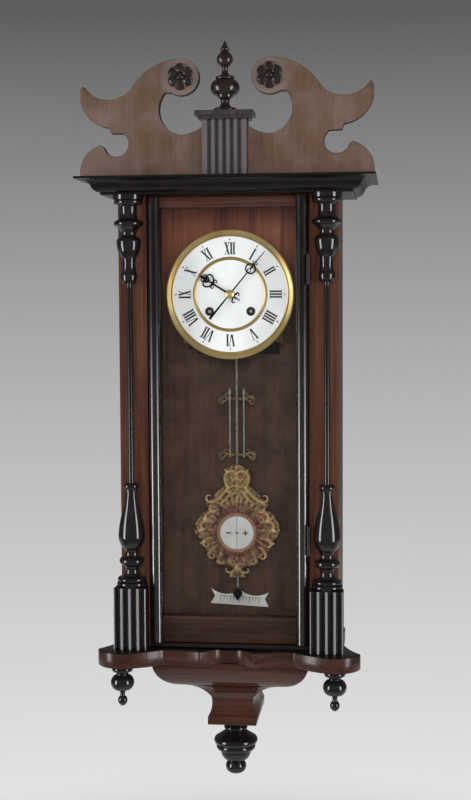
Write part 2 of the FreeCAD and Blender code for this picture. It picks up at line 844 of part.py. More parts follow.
# Going train, from the barrel to the escape wheel
def going_train():
    great, pinion, module = GREAT
    tooth = (behind(36), behind(33))
    second_phase = meshed(GOING, 0.0, great, SECOND_AT, pinion)
    centre_phase = meshed(SECOND_AT, 0.0, SECOND[0], HUB, SECOND[1])
    third_phase = meshed(HUB, 0.0, CENTRE[0], THIRD_AT, CENTRE[1])
    escape_phase = meshed(THIRD_AT, 0.0, THIRD[0], ESCAPE_AT, THIRD[1])
    for name, spot in (("going", GOING), ("strike", STRIKE)):
        drum = rod(spot[0], spot[1], barrel_radius, tooth[1], behind(6))
        bore = rod(spot[0], spot[1], wind_radius + run_fit, back_in, front_in)
        parts[name + "_barrel"] = joined([gear(great, module, 0.0, spot, *tooth), drum]).cut(bore)
        parts[name + "_winding_arbor"] = winding_arbor(spot)
    wheel = gear(SECOND[0], SECOND[2], 0.0, SECOND_AT, behind(40.5), behind(38.5), True)
    leaves = gear(pinion, module, second_phase, SECOND_AT, behind(38.5), behind(31.5))
    parts["going_second_wheel"] = joined([wheel, leaves] + pivoted(SECOND_AT))
    wheel = gear(CENTRE[0], CENTRE[2], 0.0, HUB, behind(4.1), behind(2.5), True)
    leaves = gear(SECOND[1], SECOND[2], centre_phase, HUB, behind(41.5), behind(37.5))
    shaft = [
        rod(0, 0, pivot_radius, back_rear, back_in + 1),
        rod(0, 0, arbor_radius, back_in + end_shake, behind(37.5)),
        rod(0, 0, centre_radius, behind(37.5), front_face),
        rod(0, 0, cannon_seat, front_face, dial_face + 7.1),
    ]
    parts["centre_wheel"] = joined([wheel, leaves] + shaft)
    wheel = gear(THIRD[0], THIRD[2], 0.0, THIRD_AT, behind(13.4), behind(12), True)
    leaves = gear(CENTRE[1], CENTRE[2], third_phase, THIRD_AT, behind(5.0), behind(1.5))
    parts["third_wheel"] = joined([wheel, leaves] + pivoted(THIRD_AT))
    points = []
    for tooth_index in range(escape_teeth):
        step = 360.0 / escape_teeth
        points.append(polar(ESCAPE_AT, escape_radius, step * tooth_index))
        points.append(polar(ESCAPE_AT, 0.84 * escape_radius, step * (tooth_index + 0.22)))
        points.append(polar(ESCAPE_AT, 0.84 * escape_radius, step * (tooth_index + 0.72)))
    windows = [polar(ESCAPE_AT, 0.52 * escape_radius, 90 * arm + 45) for arm in range(4)]
    holes = [ring_wire(x, z, 0.24 * escape_radius) for x, z in windows]
    wheel = slab(pierced(polygon(points), holes), behind(34.3), behind(32.7))
    leaves = gear(THIRD[1], THIRD[2], escape_phase, ESCAPE_AT, behind(15), behind(10.5))
    parts["escape_wheel"] = joined([wheel, leaves] + pivoted(ESCAPE_AT))


def winding_arbor(spot):
    x, z = spot
    half = wind_square / 2
    square = box(x - half, x + half, front_in, dial_face - 0.6, z - half, z + half)
    body = rod(x, z, wind_radius, back_in + end_shake, front_in - end_shake)
    return joined([body, rod(x, z, wind_pivot, back_rear, front_face), square])


def anchor():
    near = escape_radius + pallet_gap
    x0, z0 = ANCHOR_AT
    inner = polar(ESCAPE_AT, near, 45)
    outer = polar(ESCAPE_AT, near + 3.2, 36)
    elbow = polar(ESCAPE_AT, near + 4.2, 50)
    steps = [
        inner,
        outer,
        elbow,
        (x0 + 3.0, z0 + 3.5),
        (0.0, z0 + 3.5),
    ]
    start = (0.0, z0 - 2.5)
    claw = slab(outline(start, mirrored(start, steps), in_front), behind(35), behind(32))
    rear = back_rear - 6.0
    low = z0 - crutch_length
    gap = rod_radius + crutch_gap
    arbor = [
        rod(x0, z0, arbor_radius, rear, front_in - end_shake),
        rod(x0, z0, pivot_radius, behind(1), front_face),
    ]
    crutch = [
        rod(x0, z0, 3.5, rear, back_rear - 2.5),
        box(-1.4, 1.4, rear, rear + 2, low, z0),
        box(-gap - 1.2, gap + 1.2, rear, rear + 2, low - 3, low + 1),
        box(gap, gap + 1.2, pendulum_depth - 3, rear + 2, low - 3, low),
        box(-gap - 1.2, -gap, pendulum_depth - 3, rear + 2, low - 3, low),
    ]
    parts["pallet_anchor"] = joined([claw] + arbor + crutch)


# Strike train: pin wheel that lifts the hammer, and the fly that slows it
def strike_train():
    great, pinion, module = GREAT
    pin_phase = meshed(STRIKE, 0.0, great, PIN_AT, pinion)
    fly_phase = meshed(PIN_AT, 0.0, PIN[0], FLY_AT, PIN[1])
    wheel = gear(PIN[0], PIN[2], 0.0, PIN_AT, behind(39.8), behind(38.2))
    leaves = gear(pinion, module, pin_phase, PIN_AT, behind(38.2), behind(31.5))
    pins = []
    for index in range(8):
        spot = polar(PIN_AT, 10.5, 45 * index + 22)
        pins.append(rod(spot[0], spot[1], 0.8, behind(43), behind(39)))
    parts["strike_pin_wheel"] = joined([wheel, leaves] + pins + pivoted(PIN_AT))
    leaves = gear(PIN[1], PIN[2], fly_phase, FLY_AT, behind(41), behind(37))
    blade = box(FLY_AT[0] - 9, FLY_AT[0] + 9, behind(34), behind(15), FLY_AT[1] - 0.5, FLY_AT[1] + 0.5)
    parts["strike_fly"] = joined([leaves, blade] + pivoted(FLY_AT))


def hammer():
    x0, z0 = HAMMER_AT
    far = gong_pitch * gong_half_turns / 2 + gong_start
    clear = far - gong_pitch / 4 + gong_wire + hammer_radius + 1.5
    drop = gong_rise + 27.0
    head_x = gong_pitch / 4 - math.sqrt(clear * clear - drop * drop)
    head_z = gong_rise - drop
    near = back_rear - 8.0
    head = rod(head_x, head_z, hammer_radius, gong_depth - 4, near)
    arm = [(x0 - 2.0, z0), (x0 + 2.0, z0), (head_x + 1.6, head_z), (head_x - 1.6, head_z)]
    lever = slab(Part.Face(polygon(arm)), near - 1, near + 2)
    hub = rod(x0, z0, 3.5, near - 1, back_rear - 2)
    angle = math.atan2(PIN_AT[1] - z0, PIN_AT[0] - x0)
    tip = polar(HAMMER_AT, 5.0, math.degrees(angle))
    side = polar((0, 0), 0.9, math.degrees(angle) + 90)
    tail = [
        (x0 + side[0], z0 + side[1]),
        (x0 - side[0], z0 - side[1]),
        (tip[0] - side[0], tip[1] - side[1]),
        (tip[0] + side[0], tip[1] + side[1]),
    ]
    lift = slab(Part.Face(polygon(tail)), behind(43), behind(40.6))
    arbor = [
        rod(x0, z0, arbor_radius, near, front_in - end_shake),
        rod(x0, z0, pivot_radius, behind(1), front_face),
    ]
    parts["hammer"] = joined([head, lever, hub, lift] + arbor)


# Motion work and hands
def motion_work():
    wheel_teeth, cannon_teeth, module = CANNON
    hour_teeth, nut_teeth, hour_module = HOUR
    q = front_face
    minute_phase = meshed(HUB, 0.0, cannon_teeth, MINUTE_AT, wheel_teeth)
    hour_phase = meshed(MINUTE_AT, 0.0, nut_teeth, HUB, hour_teeth)
    bore = rod(0, 0, cannon_seat + run_fit, q, dial_face + 9)
    pipe = rod(0, 0, cannon_pipe, q + 0.6, dial_face + 7.6)
    parts["cannon_pinion"] = joined([gear(cannon_teeth, module, 0.0, HUB, q + 1.0, q + 3.0), pipe]).cut(bore)
    stud = rod(MINUTE_AT[0], MINUTE_AT[1], arbor_radius + run_fit, q, q + 7)
    wheel = [gear(wheel_teeth, module, minute_phase, MINUTE_AT, q + 1.3, q + 2.5)]
    wheel.append(gear(nut_teeth, hour_module, 0.0, MINUTE_AT, q + 2.5, q + 5.2))
    parts["minute_wheel"] = joined(wheel).cut(stud)
    wheel = gear(hour_teeth, hour_module, hour_phase, HUB, q + 3.4, q + 4.6)
    pipe = rod(0, 0, hour_pipe, q + 3.4, dial_face + 3.2)
    bore = rod(0, 0, cannon_pipe + run_fit, q, dial_face + 9)
    parts["hour_wheel"] = joined([wheel, pipe]).cut(bore)


def blade(root, root_z, tip, tip_z):
    """Straight part of a hand, with its half widths at both ends."""
    return Part.Face(polygon([(-root, root_z), (root, root_z), (tip, tip_z), (-tip, tip_z)]))


def hand(flat, depth, seat, turn):
    """Hand sawn from flat steel, with the hole for its pipe, set to the time shown."""
    solid = joined([slab(face, depth, depth + hand_thick) for face in flat])
    solid = solid.cut(rod(0, 0, seat, depth, depth + hand_thick))
    solid.rotate(V(), V(0, 1, 0), turn)
    return solid


def hands():
    flat = [
        Part.Face(ring_wire(0, 0, 6.2)),
        blade(1.9, 0, 1.3, 0.50 * hour_length),
        annulus(0, 0.60 * hour_length, 5.4, 3.0),
        annulus(6.0, 0.72 * hour_length, 4.2, 2.3),
        annulus(-6.0, 0.72 * hour_length, 4.2, 2.3),
        blade(0.8, 0.68 * hour_length, 0.8, 0.78 * hour_length),
        annulus(0, 0.84 * hour_length, 4.0, 2.0),
        blade(1.6, 0.90 * hour_length, 0.2, hour_length),
    ]
    parts["hour_hand"] = hand(flat, dial_face + 1.8, hour_pipe, hour_turn)
    depth = dial_face + 4.8
    flat = [
        Part.Face(ring_wire(0, 0, 5.2)),
        blade(1.7, 0, 1.1, 0.60 * minute_length),
        annulus(0, 0.66 * minute_length, 5.8, 3.4),
        blade(1.3, 0.72 * minute_length, 0.35, minute_length),
        blade(1.9, -0.50 * minute_length, 1.0, 0),
        Part.Face(ring_wire(0, -0.50 * minute_length, 2.9)),
    ]
    parts["minute_hand"] = hand(flat, depth, cannon_pipe, minute_turn)
    front = depth + hand_thick
    steps = [(4.6, front), (4.6, front + 1.0), (4.0, front + 2.4, 2.0, front + 3.0), (0, front + 3.0)]
    nut = spun((0, front), steps, 0, 0)
    parts["hand_nut"] = nut.cut(rod(0, 0, cannon_pipe, front, dial_face + 7.6))


# Pendulum: suspension spring, rod, frame, bob, roundel and pointer
def pendulum():
    near = pendulum_depth - 1.7
    far = pendulum_depth + 1.7
    upper = box(-3.6, 3.6, near, far, pivot_z - 5.2, pivot_z + 3.6)
    strip = box(-0.15, 0.15, near, far, pivot_z - 17.5, pivot_z - 5)
    lower = box(-3.6, 3.6, near, far, pivot_z - 26, pivot_z - 17.5)
    hole = rod(0, pivot_z, pivot_radius + run_fit, near, far)
    parts["suspension_spring"] = joined([upper, strip, lower]).cut(hole)
    parts["pendulum_rod"] = post(0, pendulum_depth, rod_radius, -pointer_drop, pivot_z - 26)
    frame = []
    for level, half in zip(cross_drops, (25.5, 27.5)):
        frame.append(box(-half, half, near, far, -level - 1.8, -level + 1.8))
        frame.append(post(0, pendulum_depth, rod_radius + collar_wall, -level - 3, -level + 3))
        for side in (1, -1):
            frame.append(rod(side * (half - 1.5), -level + 2.2, 3.0, near, far))
            frame.append(rod(side * (half - 6.5), -level - 2.4, 2.6, near, far))
    top = 9 - cross_drops[0]
    for side in (1, -1):
        frame.append(post(side * side_rod_x, pendulum_depth, side_rod_radius, -cross_drops[1] - 3, top))
    bore = post(0, pendulum_depth, rod_radius + run_fit, -cross_drops[1] - 9, top)
    parts["pendulum_frame"] = joined(frame).cut(bore)
    bob()
    top = -pointer_drop
    tail = top - pointer_height
    heart = outline(
        (0, tail),
        [(5.0, tail + 7.0), (6.2, tail + 11.5, 3.0, tail + 13.5), (0, tail + 12.0), (-3.0, tail + 13.5),
         (-6.2, tail + 11.5, -5.0, tail + 7.0)],
        in_front,
    )
    needle = post(0, pendulum_depth, rod_radius, tail + 11, top)
    parts["pendulum_pointer"] = joined([slab(heart, pendulum_depth - 1.5, pendulum_depth + 1.5), needle])


def bob():
    z = -bob_drop
    back = pendulum_depth
    front = back + bob_thick
    foot = (0.0, -0.96 * bob_half)
    shares = [
        (0.08, -1.07, 0.215, -1.02),
        (0.115, -0.91, 0.20, -0.79),
        (0.40, -0.75, 0.51, -0.60),
        (0.70, -0.47, 0.83, -0.19),
        (1.0, 0.02, 0.90, 0.33),
        (0.83, 0.46, 0.62, 0.50),
        (0.56, 0.56),
        (0.70, 0.585),
        (0.735, 0.67, 0.63, 0.76),
        (0.47, 0.96, 0.21, 1.14),
        (0.32, 1.31, 0.17, 1.54),
        (0.09, 1.595, 0.0, 1.60),
    ]
    steps = [tuple(bob_half * share for share in step) for step in shares]
    plate = slab(outline(foot, mirrored(foot, steps), in_front), back, front)
    plate.translate(V(0, 0, z))
    rim = annulus(0, z, roundel_radius + 4.5, roundel_radius + 0.3)
    groove = post(0, back, rod_radius + run_fit, z - 90, z + 110)
    parts["bob"] = joined([plate, slab(rim, front, front + 2.6)]).cut(groove)
    parts["bob_roundel"] = rod(0, z, roundel_radius, front, front + 1.6)


def beat_scale():
    z = -scale_drop
    up = scale_height / 2
    steps = [
        (scale_half, z - up),
        (0.86 * scale_half, z),
        (scale_half, z + up),
        (0.52 * scale_half, z + 0.35 * up, 0, z + up),
    ]
    face = outline((0, z - up), mirrored((0, z - up), steps), in_front)
    plate = slab(face, back_thick, back_thick + 1.5)
    plate.rotate(V(0, 0, z), V(0, 1, 0), scale_tilt)
    parts["beat_scale"] = plate


case_boards()
cornice()
crest_board()
crest_plinth()
columns()
shelf()
corbel()
turned_drops()
door()
hinges()
fixed = set(parts)
plates()
suspension_cock()
bracket()
gong()
dial()
going_train()
anchor()
strike_train()
hammer()
motion_work()
hands()
pendulum()
beat_scale()
for name in sorted(set(parts) - fixed):
    shift(name)

os.makedirs("parts", exist_ok=True)
for name, shape in sorted(parts.items()):
    shape.exportStep("parts/" + name + ".step")
print(len(parts), "pieces")
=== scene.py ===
"""Looks of a walnut and ebonised wall clock, built round its CAD frame.

Sizes are in millimetres: x to the right, depth out from the wall, z up from the hanging hole.
"""

import logging
import math
from dataclasses import dataclass
from enum import Enum
from typing import Callable, Sequence

import bpy
from mathutils import Matrix, Vector


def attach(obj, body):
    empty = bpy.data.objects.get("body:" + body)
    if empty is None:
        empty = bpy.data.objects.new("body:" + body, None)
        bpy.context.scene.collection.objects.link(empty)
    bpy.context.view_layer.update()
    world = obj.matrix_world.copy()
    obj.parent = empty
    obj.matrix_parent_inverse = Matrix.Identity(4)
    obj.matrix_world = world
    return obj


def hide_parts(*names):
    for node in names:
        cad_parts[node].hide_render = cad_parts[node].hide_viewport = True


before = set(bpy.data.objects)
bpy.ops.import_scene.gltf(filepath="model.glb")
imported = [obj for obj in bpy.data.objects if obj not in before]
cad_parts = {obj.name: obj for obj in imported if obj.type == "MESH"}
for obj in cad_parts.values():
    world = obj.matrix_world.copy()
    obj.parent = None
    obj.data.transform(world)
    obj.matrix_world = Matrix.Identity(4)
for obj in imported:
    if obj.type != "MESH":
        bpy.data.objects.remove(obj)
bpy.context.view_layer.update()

LOG = logging.getLogger("clock")
MM = 0.001
# Points nearer than this many metres are one: in a copied or spun mesh, and in a finished piece.
WELD, CLOSE = 1e-6, 2e-6
# A primitive turned so that its axis points to the front.
FACING = (math.pi / 2, 0, 0)
BLACK, WHITE = "#000000", "#ffffff"
# Heights of the dial's middle and the bob's middle, and the right hand scroll eye of the crest, as x and z.
DIAL_Z, BOB_Z = -92.0, -427.0
EYE = (58.4, 192.0)
# The angle above which an edge of turned brass stays sharp.
BRASS_SHARP = 50.0
Piece = bpy.types.Object
Node = bpy.types.Node
Socket = bpy.types.NodeSocket
Point = tuple[float, float]
Triple = tuple[float, float, float]


def at(x: float, depth: float, z: float) -> Vector:
    """Turns a place on the clock from millimetres into the frame's metres."""
    return Vector((x, -depth, z)) * MM


def shift(x: float, depth: float, z: float) -> Matrix:
    """Gives a move by this much, in millimetres."""
    return Matrix.Translation(at(x, depth, z))


def turn(degrees: float) -> Matrix:
    """Gives a turn to the right, seen from the front."""
    return Matrix.Rotation(math.radians(degrees), 4, "Y")


def per(size: float) -> float:
    """Gives the scale of a pattern whose grains are of this size in millimetres."""
    return 1 / (size * MM)


def linear(code: str) -> tuple[float, float, float, float]:
    """Turns an sRGB hex colour into linear light.

    Args:
        code: The colour, as "#rrggbb".

    Returns:
        Red, green and blue, and an alpha of one.
    """
    shares = [int(code[first:first + 2], 16) / 255 for first in (1, 3, 5)]
    red, green, blue = (c / 12.92 if c <= 0.04045 else ((c + 0.055) / 1.055) ** 2.4 for c in shares)
    return red, green, blue, 1.0


class Graph:
    """A tree of nodes with its shader, and the coordinates, in metres, that patterns are laid by."""

    def __init__(self, tree: bpy.types.NodeTree, shader: str, coordinates: str = "Object") -> None:
        """Takes up a tree.

        Args:
            tree: The tree.
            shader: The name of its shader.
            coordinates: Which coordinates its patterns are laid by.
        """
        self.tree = tree
        self.shader = tree.nodes[shader]
        self.place = self.add("TexCoord").outputs[coordinates]

    def feed(self, inputs: dict, node: Node | None = None) -> None:
        """Sets a node's inputs.

        Args:
            inputs: What each input takes, by name or number: a value, a hex colour, an output, or a
                node, which stands for its first output in use.
            node: The node, or none for the shader.
        """
        for name, value in inputs.items():
            socket = (node or self.shader).inputs[name]
            if isinstance(value, Node):
                value = next(output for output in value.outputs if output.enabled)
            if isinstance(value, Socket):
                self.tree.links.new(value, socket)
            else:
                socket.default_value = linear(value) if isinstance(value, str) else value

    def fed(self, name: str) -> Socket:
        """Gives the output that one of the shader's inputs takes."""
        return self.shader.inputs[name].links[0].from_socket

    def add(self, kind: str, inputs: dict | None = None, stops: Sequence[tuple[float, str]] = (),
            **settings: object) -> Node:
        """Adds a node with its settings, its ramp stops and its links.

        Args:
            kind: The node's type, after the words that all of them start with.
            inputs: What each input takes; see feed. A vector that isn't given is the coordinates.
            stops: The places and hex colours of a colour ramp.
            settings: The node's own properties.

        Returns:
            The new node.
        """
        made = self.tree.nodes.new("ShaderNode" + kind)
        for name, value in settings.items():
            setattr(made, name, value)
        if stops:
            ramp = made.color_ramp.elements
            ramp[0].position, ramp[1].position = stops[0][0], stops[-1][0]
            for place, _ in stops[1:-1]:
                ramp.new(place)
            for element, (_, colour) in zip(ramp, stops):
                element.color = linear(colour)
        inputs = inputs or {}
        if "Vector" in made.inputs and not {"Vector", 0} & set(inputs):
            inputs = {"Vector": self.place, **inputs}
        self.feed(inputs, made)
        return made


class Grain(Enum):
    """Which way a board's grain runs, as the number of its axis."""

    LEVEL = 0
    UPRIGHT = 2


class Part(Enum):
    """Which elements of a mesh are chosen, by the name of their list."""

    VERT = "vertices"
    FACE = "polygons"


@dataclass(frozen=True)
class Finish:
    """A surface finish, made into a material at its first use."""

    name: str

    def material(self) -> bpy.types.Material:
        """Gives the finish's material.

        Returns:
            The material, the same one each time.
        """
        made = bpy.data.materials.get(self.name)
        if made is None:
            made = bpy.data.materials.new(self.name)
            made.use_nodes = True
            self.paint(Graph(made.node_tree, "Principled BSDF"))
        return made

    def paint(self, graph: Graph) -> None:
        """Lays the finish's pattern on the nodes of its material."""
        raise NotImplementedError


@dataclass(frozen=True)
class Walnut(Finish):
    """French polished walnut: brown figure with dark streaks and open pores under a clear gloss."""

    dark: str
    mid: str
    light: str
    grain: Grain = Grain.UPRIGHT
    rough: float = 0.27
    coat: float = 0.12

    def figure(self, graph: Graph) -> tuple[Node, Node, Node]:
        """Adds the wood's figure and pores.

        Args:
            graph: The material's nodes.

        Returns:
            The tone of the figure, its colour, and the depth of the pores.
        """
        noises = []
        # Broad figure, streaks between the growth rings, and pores drawn about four times their real width.
        for across, along, detail, bend in ((17, 260, 4, 0.9), (2.6, 130, 3, 0.3), (0.9, 16, 1, 0.0)):
            scales = [per(across)] * 3
            scales[self.grain.value] = per(along)
            spread = graph.add("Mapping", {"Scale": scales})
            noise = graph.add("TexNoise", {"Vector": spread, "Scale": 1, "Detail": detail, "Distortion": bend})
            noises.append(noise)
        tone = graph.add("Mix", {0: 0.45, 2: noises[0], 3: noises[1]})
        stain = graph.add("ValToRGB", {0: tone}, [(0.34, self.dark), (0.5, self.mid), (0.66, self.light)])
        pores = graph.add("ValToRGB", {0: noises[2]}, [(0.55, BLACK), (0.7, WHITE)])
        return tone, stain, pores

    def polish(self, graph: Graph, wood: Node, pores: Node) -> None:
        """Lays the wood's colour, and its gloss, dulled and dented by the pores.

        Args:
            graph: The material's nodes.
            wood: The colour.
            pores: The depth of the pores.
        """
        rough = graph.add("MapRange", {0: pores, 3: self.rough, 4: self.rough + 0.18})
        dents = graph.add("Bump", {"Strength": 0.1, "Distance": 0.2 * MM, "Height": pores}, invert=True)
        graph.feed({"Base Color": wood, "Roughness": rough, "Normal": dents, "Specular IOR Level": 0.25,
                    "Coat Weight": self.coat, "Coat Roughness": 0.09})

    def paint(self, graph: Graph) -> None:
        """Lays figured walnut, darker in its pores.

        Args:
            graph: The material's nodes.
        """
        _, stain, pores = self.figure(graph)
        deep = graph.add("Math", {0: pores, 1: 0.55}, operation="MULTIPLY")
        wood = graph.add("Mix", {0: deep, 6: stain, 7: self.dark}, data_type="RGBA")
        self.polish(graph, wood, pores)


@dataclass(frozen=True)
class CrestWalnut(Walnut):
    """Walnut greyed by bleaching in patches, with a grey ring of painted sheen round each scroll eye, and painted
    shade on the edge faces that an attribute marks.
    """

    # The colour of the painted shade on the board's edge faces.
    edge: str = "#1d1411"
    mark: str = "sawn_edge"
    bleach_and_sheen: str = "#726461"
    cloud: float = 34.0
    eye_sheen_rim: Point = (30.0, 22.0)

    def paint(self, graph: Graph) -> None:
        """Lays walnut on the faces, greyed in patches and with painted sheen round the eyes, and painted shade on
        the edges.

        Args:
            graph: The material's nodes.
        """
        super().paint(graph)
        cloud = graph.add("TexNoise", {"Scale": per(self.cloud), "Detail": 4})
        patch = graph.add("MapRange", {0: cloud, 1: 0.42, 2: 0.72, 4: 0.4})
        # Painted sheen: a grey ring round each scroll eye, in the same grey as the random bleached patches.
        half = graph.add("VectorMath", {0: graph.place}, operation="ABSOLUTE")
        eye = graph.add("Mapping", {"Vector": half, "Scale": (1, 0, 1), "Location": -at(EYE[0], 0, EYE[1])})
        reach = graph.add("VectorMath", {0: eye}, operation="LENGTH")
        near = graph.add("MapRange", {0: reach, 1: self.eye_sheen_rim[0] * MM, 2: self.eye_sheen_rim[1] * MM, 4: 0.6})
        share = graph.add("Math", {0: patch, 1: near}, operation="MAXIMUM")
        pale = graph.add("Mix", {0: share, 6: graph.fed("Base Color"), 7: self.bleach_and_sheen}, data_type="RGBA")
        # Painted shade: the edge faces that the attribute marks are darkened.
        painted_edge_shade = graph.add("Attribute", attribute_name=self.mark).outputs["Fac"]
        graph.feed({"Base Color": graph.add("Mix", {0: painted_edge_shade, 6: pale, 7: self.edge}, data_type="RGBA")})


@dataclass(frozen=True)
class BackVeneer(Walnut):
    """Veneer inside the case: red and lighter towards the top, painted light that makes up for the shade under the
    cornice and top rail, brown and blotched below, bare wood behind.
    """

    blotch: str = "#4d402e"
    low_dark: str = "#231f1b"
    low_light: str = "#39332b"
    bare: str = "#9a7f60"
    cloud: float = 38.0
    painted_light_full_z: float = -40.0
    painted_light_end_z: float = -190.0
    raw_skin: Point = (-1.2, -0.4)

    def paint(self, graph: Graph) -> None:
        """Lays red veneer, lighter at the top as painted light, over brown veneer, with bare wood on the wall side.

        Args:
            graph: The material's nodes.
        """
        tone, painted_light_upper, pores = self.figure(graph)
        cloud = graph.add("TexNoise", {"Scale": per(self.cloud), "Detail": 5, "Roughness": 0.62, "Distortion": 0.6})
        spots = [(0.36, self.low_dark), (0.52, self.low_light), (0.68, self.blotch)]
        spot = graph.add("ValToRGB", {0: cloud}, spots)
        lower = graph.add("Mix", {0: 0.18, 6: spot, 7: painted_light_upper}, data_type="RGBA")
        # Painted light: towards the top the veneer turns lighter and redder, making up for the shade under the
        # cornice and top rail.
        _, inwards, up = graph.add("SeparateXYZ").outputs
        fade = graph.add("MapRange", {0: up, 1: self.painted_light_end_z * MM, 2: self.painted_light_full_z * MM},
                         interpolation_type="SMOOTHSTEP")
        front = graph.add("Mix", {0: fade, 6: lower, 7: painted_light_upper}, data_type="RGBA")
        raw = graph.add("ValToRGB", {0: tone}, [(0.3, self.mid), (0.7, self.bare)])
        behind = graph.add("MapRange", {0: inwards, 1: self.raw_skin[0] * MM, 2: self.raw_skin[1] * MM})
        self.polish(graph, graph.add("Mix", {0: behind, 6: front, 7: raw}, data_type="RGBA"), pores)


@dataclass(frozen=True)
class ShelfWalnut(Walnut):
    """Walnut shelf whose top is black."""

    top: str = "#17110f"
    top_z: float = -570.2
    top_blend: float = 0.4

    def paint(self, graph: Graph) -> None:
        """Lays walnut below the shelf's top and black on it.

        Args:
            graph: The material's nodes.
        """
        super().paint(graph)
        up = graph.add("SeparateXYZ").outputs[2]
        share = graph.add("MapRange", {0: up, 1: (self.top_z - self.top_blend) * MM, 2: self.top_z * MM})
        wood = graph.add("Mix", {0: share, 6: graph.fed("Base Color"), 7: self.top}, data_type="RGBA")
        graph.feed({"Base Color": wood})


@dataclass(frozen=True)
class EbonisedWood(Finish):
    """Fruitwood stained black and polished: a deep gloss, browner and duller where hands have rubbed it."""

    black: str = "#110e0f"
    worn: str = "#251812"
    rough: float = 0.08
    shine: float = 0.5
    patch: float = 14.0
    pore: Triple = (1.6, 1.6, 22.0)

    def paint(self, graph: Graph) -> None:
        """Lays black stain with rubbed patches.

        Args:
            graph: The material's nodes.
        """
        patch = graph.add("TexNoise", {"Scale": per(self.patch), "Detail": 5, "Roughness": 0.65})
        stain = graph.add("ValToRGB", {0: patch}, [(0.52, self.black), (0.78, self.worn)])
        rough = graph.add("MapRange", {0: patch, 1: 0.3, 2: 0.75, 3: self.rough, 4: self.rough + 0.12})
        # Filled grain under the polish, drawn twice as wide as it is.
        grain = graph.add("Mapping", {"Scale": [per(size) for size in self.pore]})
        waves = graph.add("TexNoise", {"Vector": grain, "Scale": 1, "Detail": 2})
        bump = graph.add("Bump", {"Strength": 0.03, "Distance": 0.1 * MM, "Height": waves})
        graph.feed({"Base Color": stain, "Roughness": rough, "Normal": bump, "Specular IOR Level": self.shine})


@dataclass(frozen=True)
class FadedGloss(EbonisedWood):
    """Ebonised wood gone dull over one band, measured along one axis; outside it the stain may be paler, partly
    rubbed wear and partly painted highlight.
    """

    axis: int = 2
    rubbed: str = ""
    dull: float = 0.4
    dull_shine: float = 0.12
    low: Point = (-320.0, -110.0)
    top: Point = (300.0, 301.0)

    def paint(self, graph: Graph) -> None:
        """Lays ebonised wood and dulls the band.

        Args:
            graph: The material's nodes.
        """
        super().paint(graph)
        reach = graph.add("SeparateXYZ").outputs[self.axis]
        above = graph.add("MapRange", {0: reach, 1: self.low[0] * MM, 2: self.low[1] * MM})
        below = graph.add("MapRange", {0: reach, 1: self.top[1] * MM, 2: self.top[0] * MM})
        share = graph.add("Math", {0: above, 1: below}, operation="MULTIPLY")
        rough = graph.add("Mix", {0: share, 2: graph.fed("Roughness"), 3: self.dull})
        shine = graph.add("MapRange", {0: share, 3: self.shine, 4: self.dull_shine})
        graph.feed({"Roughness": rough, "Specular IOR Level": shine})
        # Outside the band the stain is paler: partly rubbed wear, partly a painted highlight standing in for the
        # lamps' glints on the lands.
        if self.rubbed:
            edge = graph.add("Mix", {0: share, 6: self.rubbed, 7: graph.fed("Base Color")}, data_type="RGBA")
            graph.feed({"Base Color": edge})


@dataclass(frozen=True)
class Metal(Finish):
    """Worked metal: a clear reflection broken by tarnish clouds and shallow dents."""

    bright: str
    dull: str
    rough: float = 0.25
    cloud: float = 18.0
    metallic: float = 1.0
    dented: float = 0.1
    dent: float = 7.0

    def paint(self, graph: Graph) -> None:
        """Lays metal with clouds of tarnish.

        Args:
            graph: The material's nodes.
        """
        haze = graph.add("TexNoise", {"Scale": per(self.cloud), "Detail": 2})
        skin = graph.add("ValToRGB", {0: haze}, [(0.35, self.dull), (0.62, self.bright)])
        rough = graph.add("MapRange", {0: haze, 1: 0.3, 2: 0.7, 3: self.rough + 0.12, 4: self.rough})
        # Handling dents and polishing hollows, far wider than the scratches, which are too fine to show.
        dents = graph.add("TexNoise", {"Scale": per(self.dent), "Detail": 1})
        bump = graph.add("Bump", {"Strength": self.dented, "Distance": 0.1 * MM, "Height": dents})
        graph.feed({"Base Color": skin, "Roughness": rough, "Normal": bump, "Metallic": self.metallic})


@dataclass(frozen=True)
class SpunBrass(Metal):
    """Brass spun on a lathe: its fine circular lines spread each reflection across the ring into a fan."""

    fan: float = 0.8

    def paint(self, graph: Graph) -> None:
        """Lays metal whose reflections spread outwards from the dial's middle.

        Args:
            graph: The material's nodes.
        """
        super().paint(graph)
        spoke = graph.add("Mapping", {"Scale": (1, 0, 1), "Location": at(0, 0, -DIAL_Z)})
        away = graph.add("VectorMath", {0: spoke}, operation="NORMALIZE")
        graph.feed({"Tangent": away, "Anisotropic": self.fan})


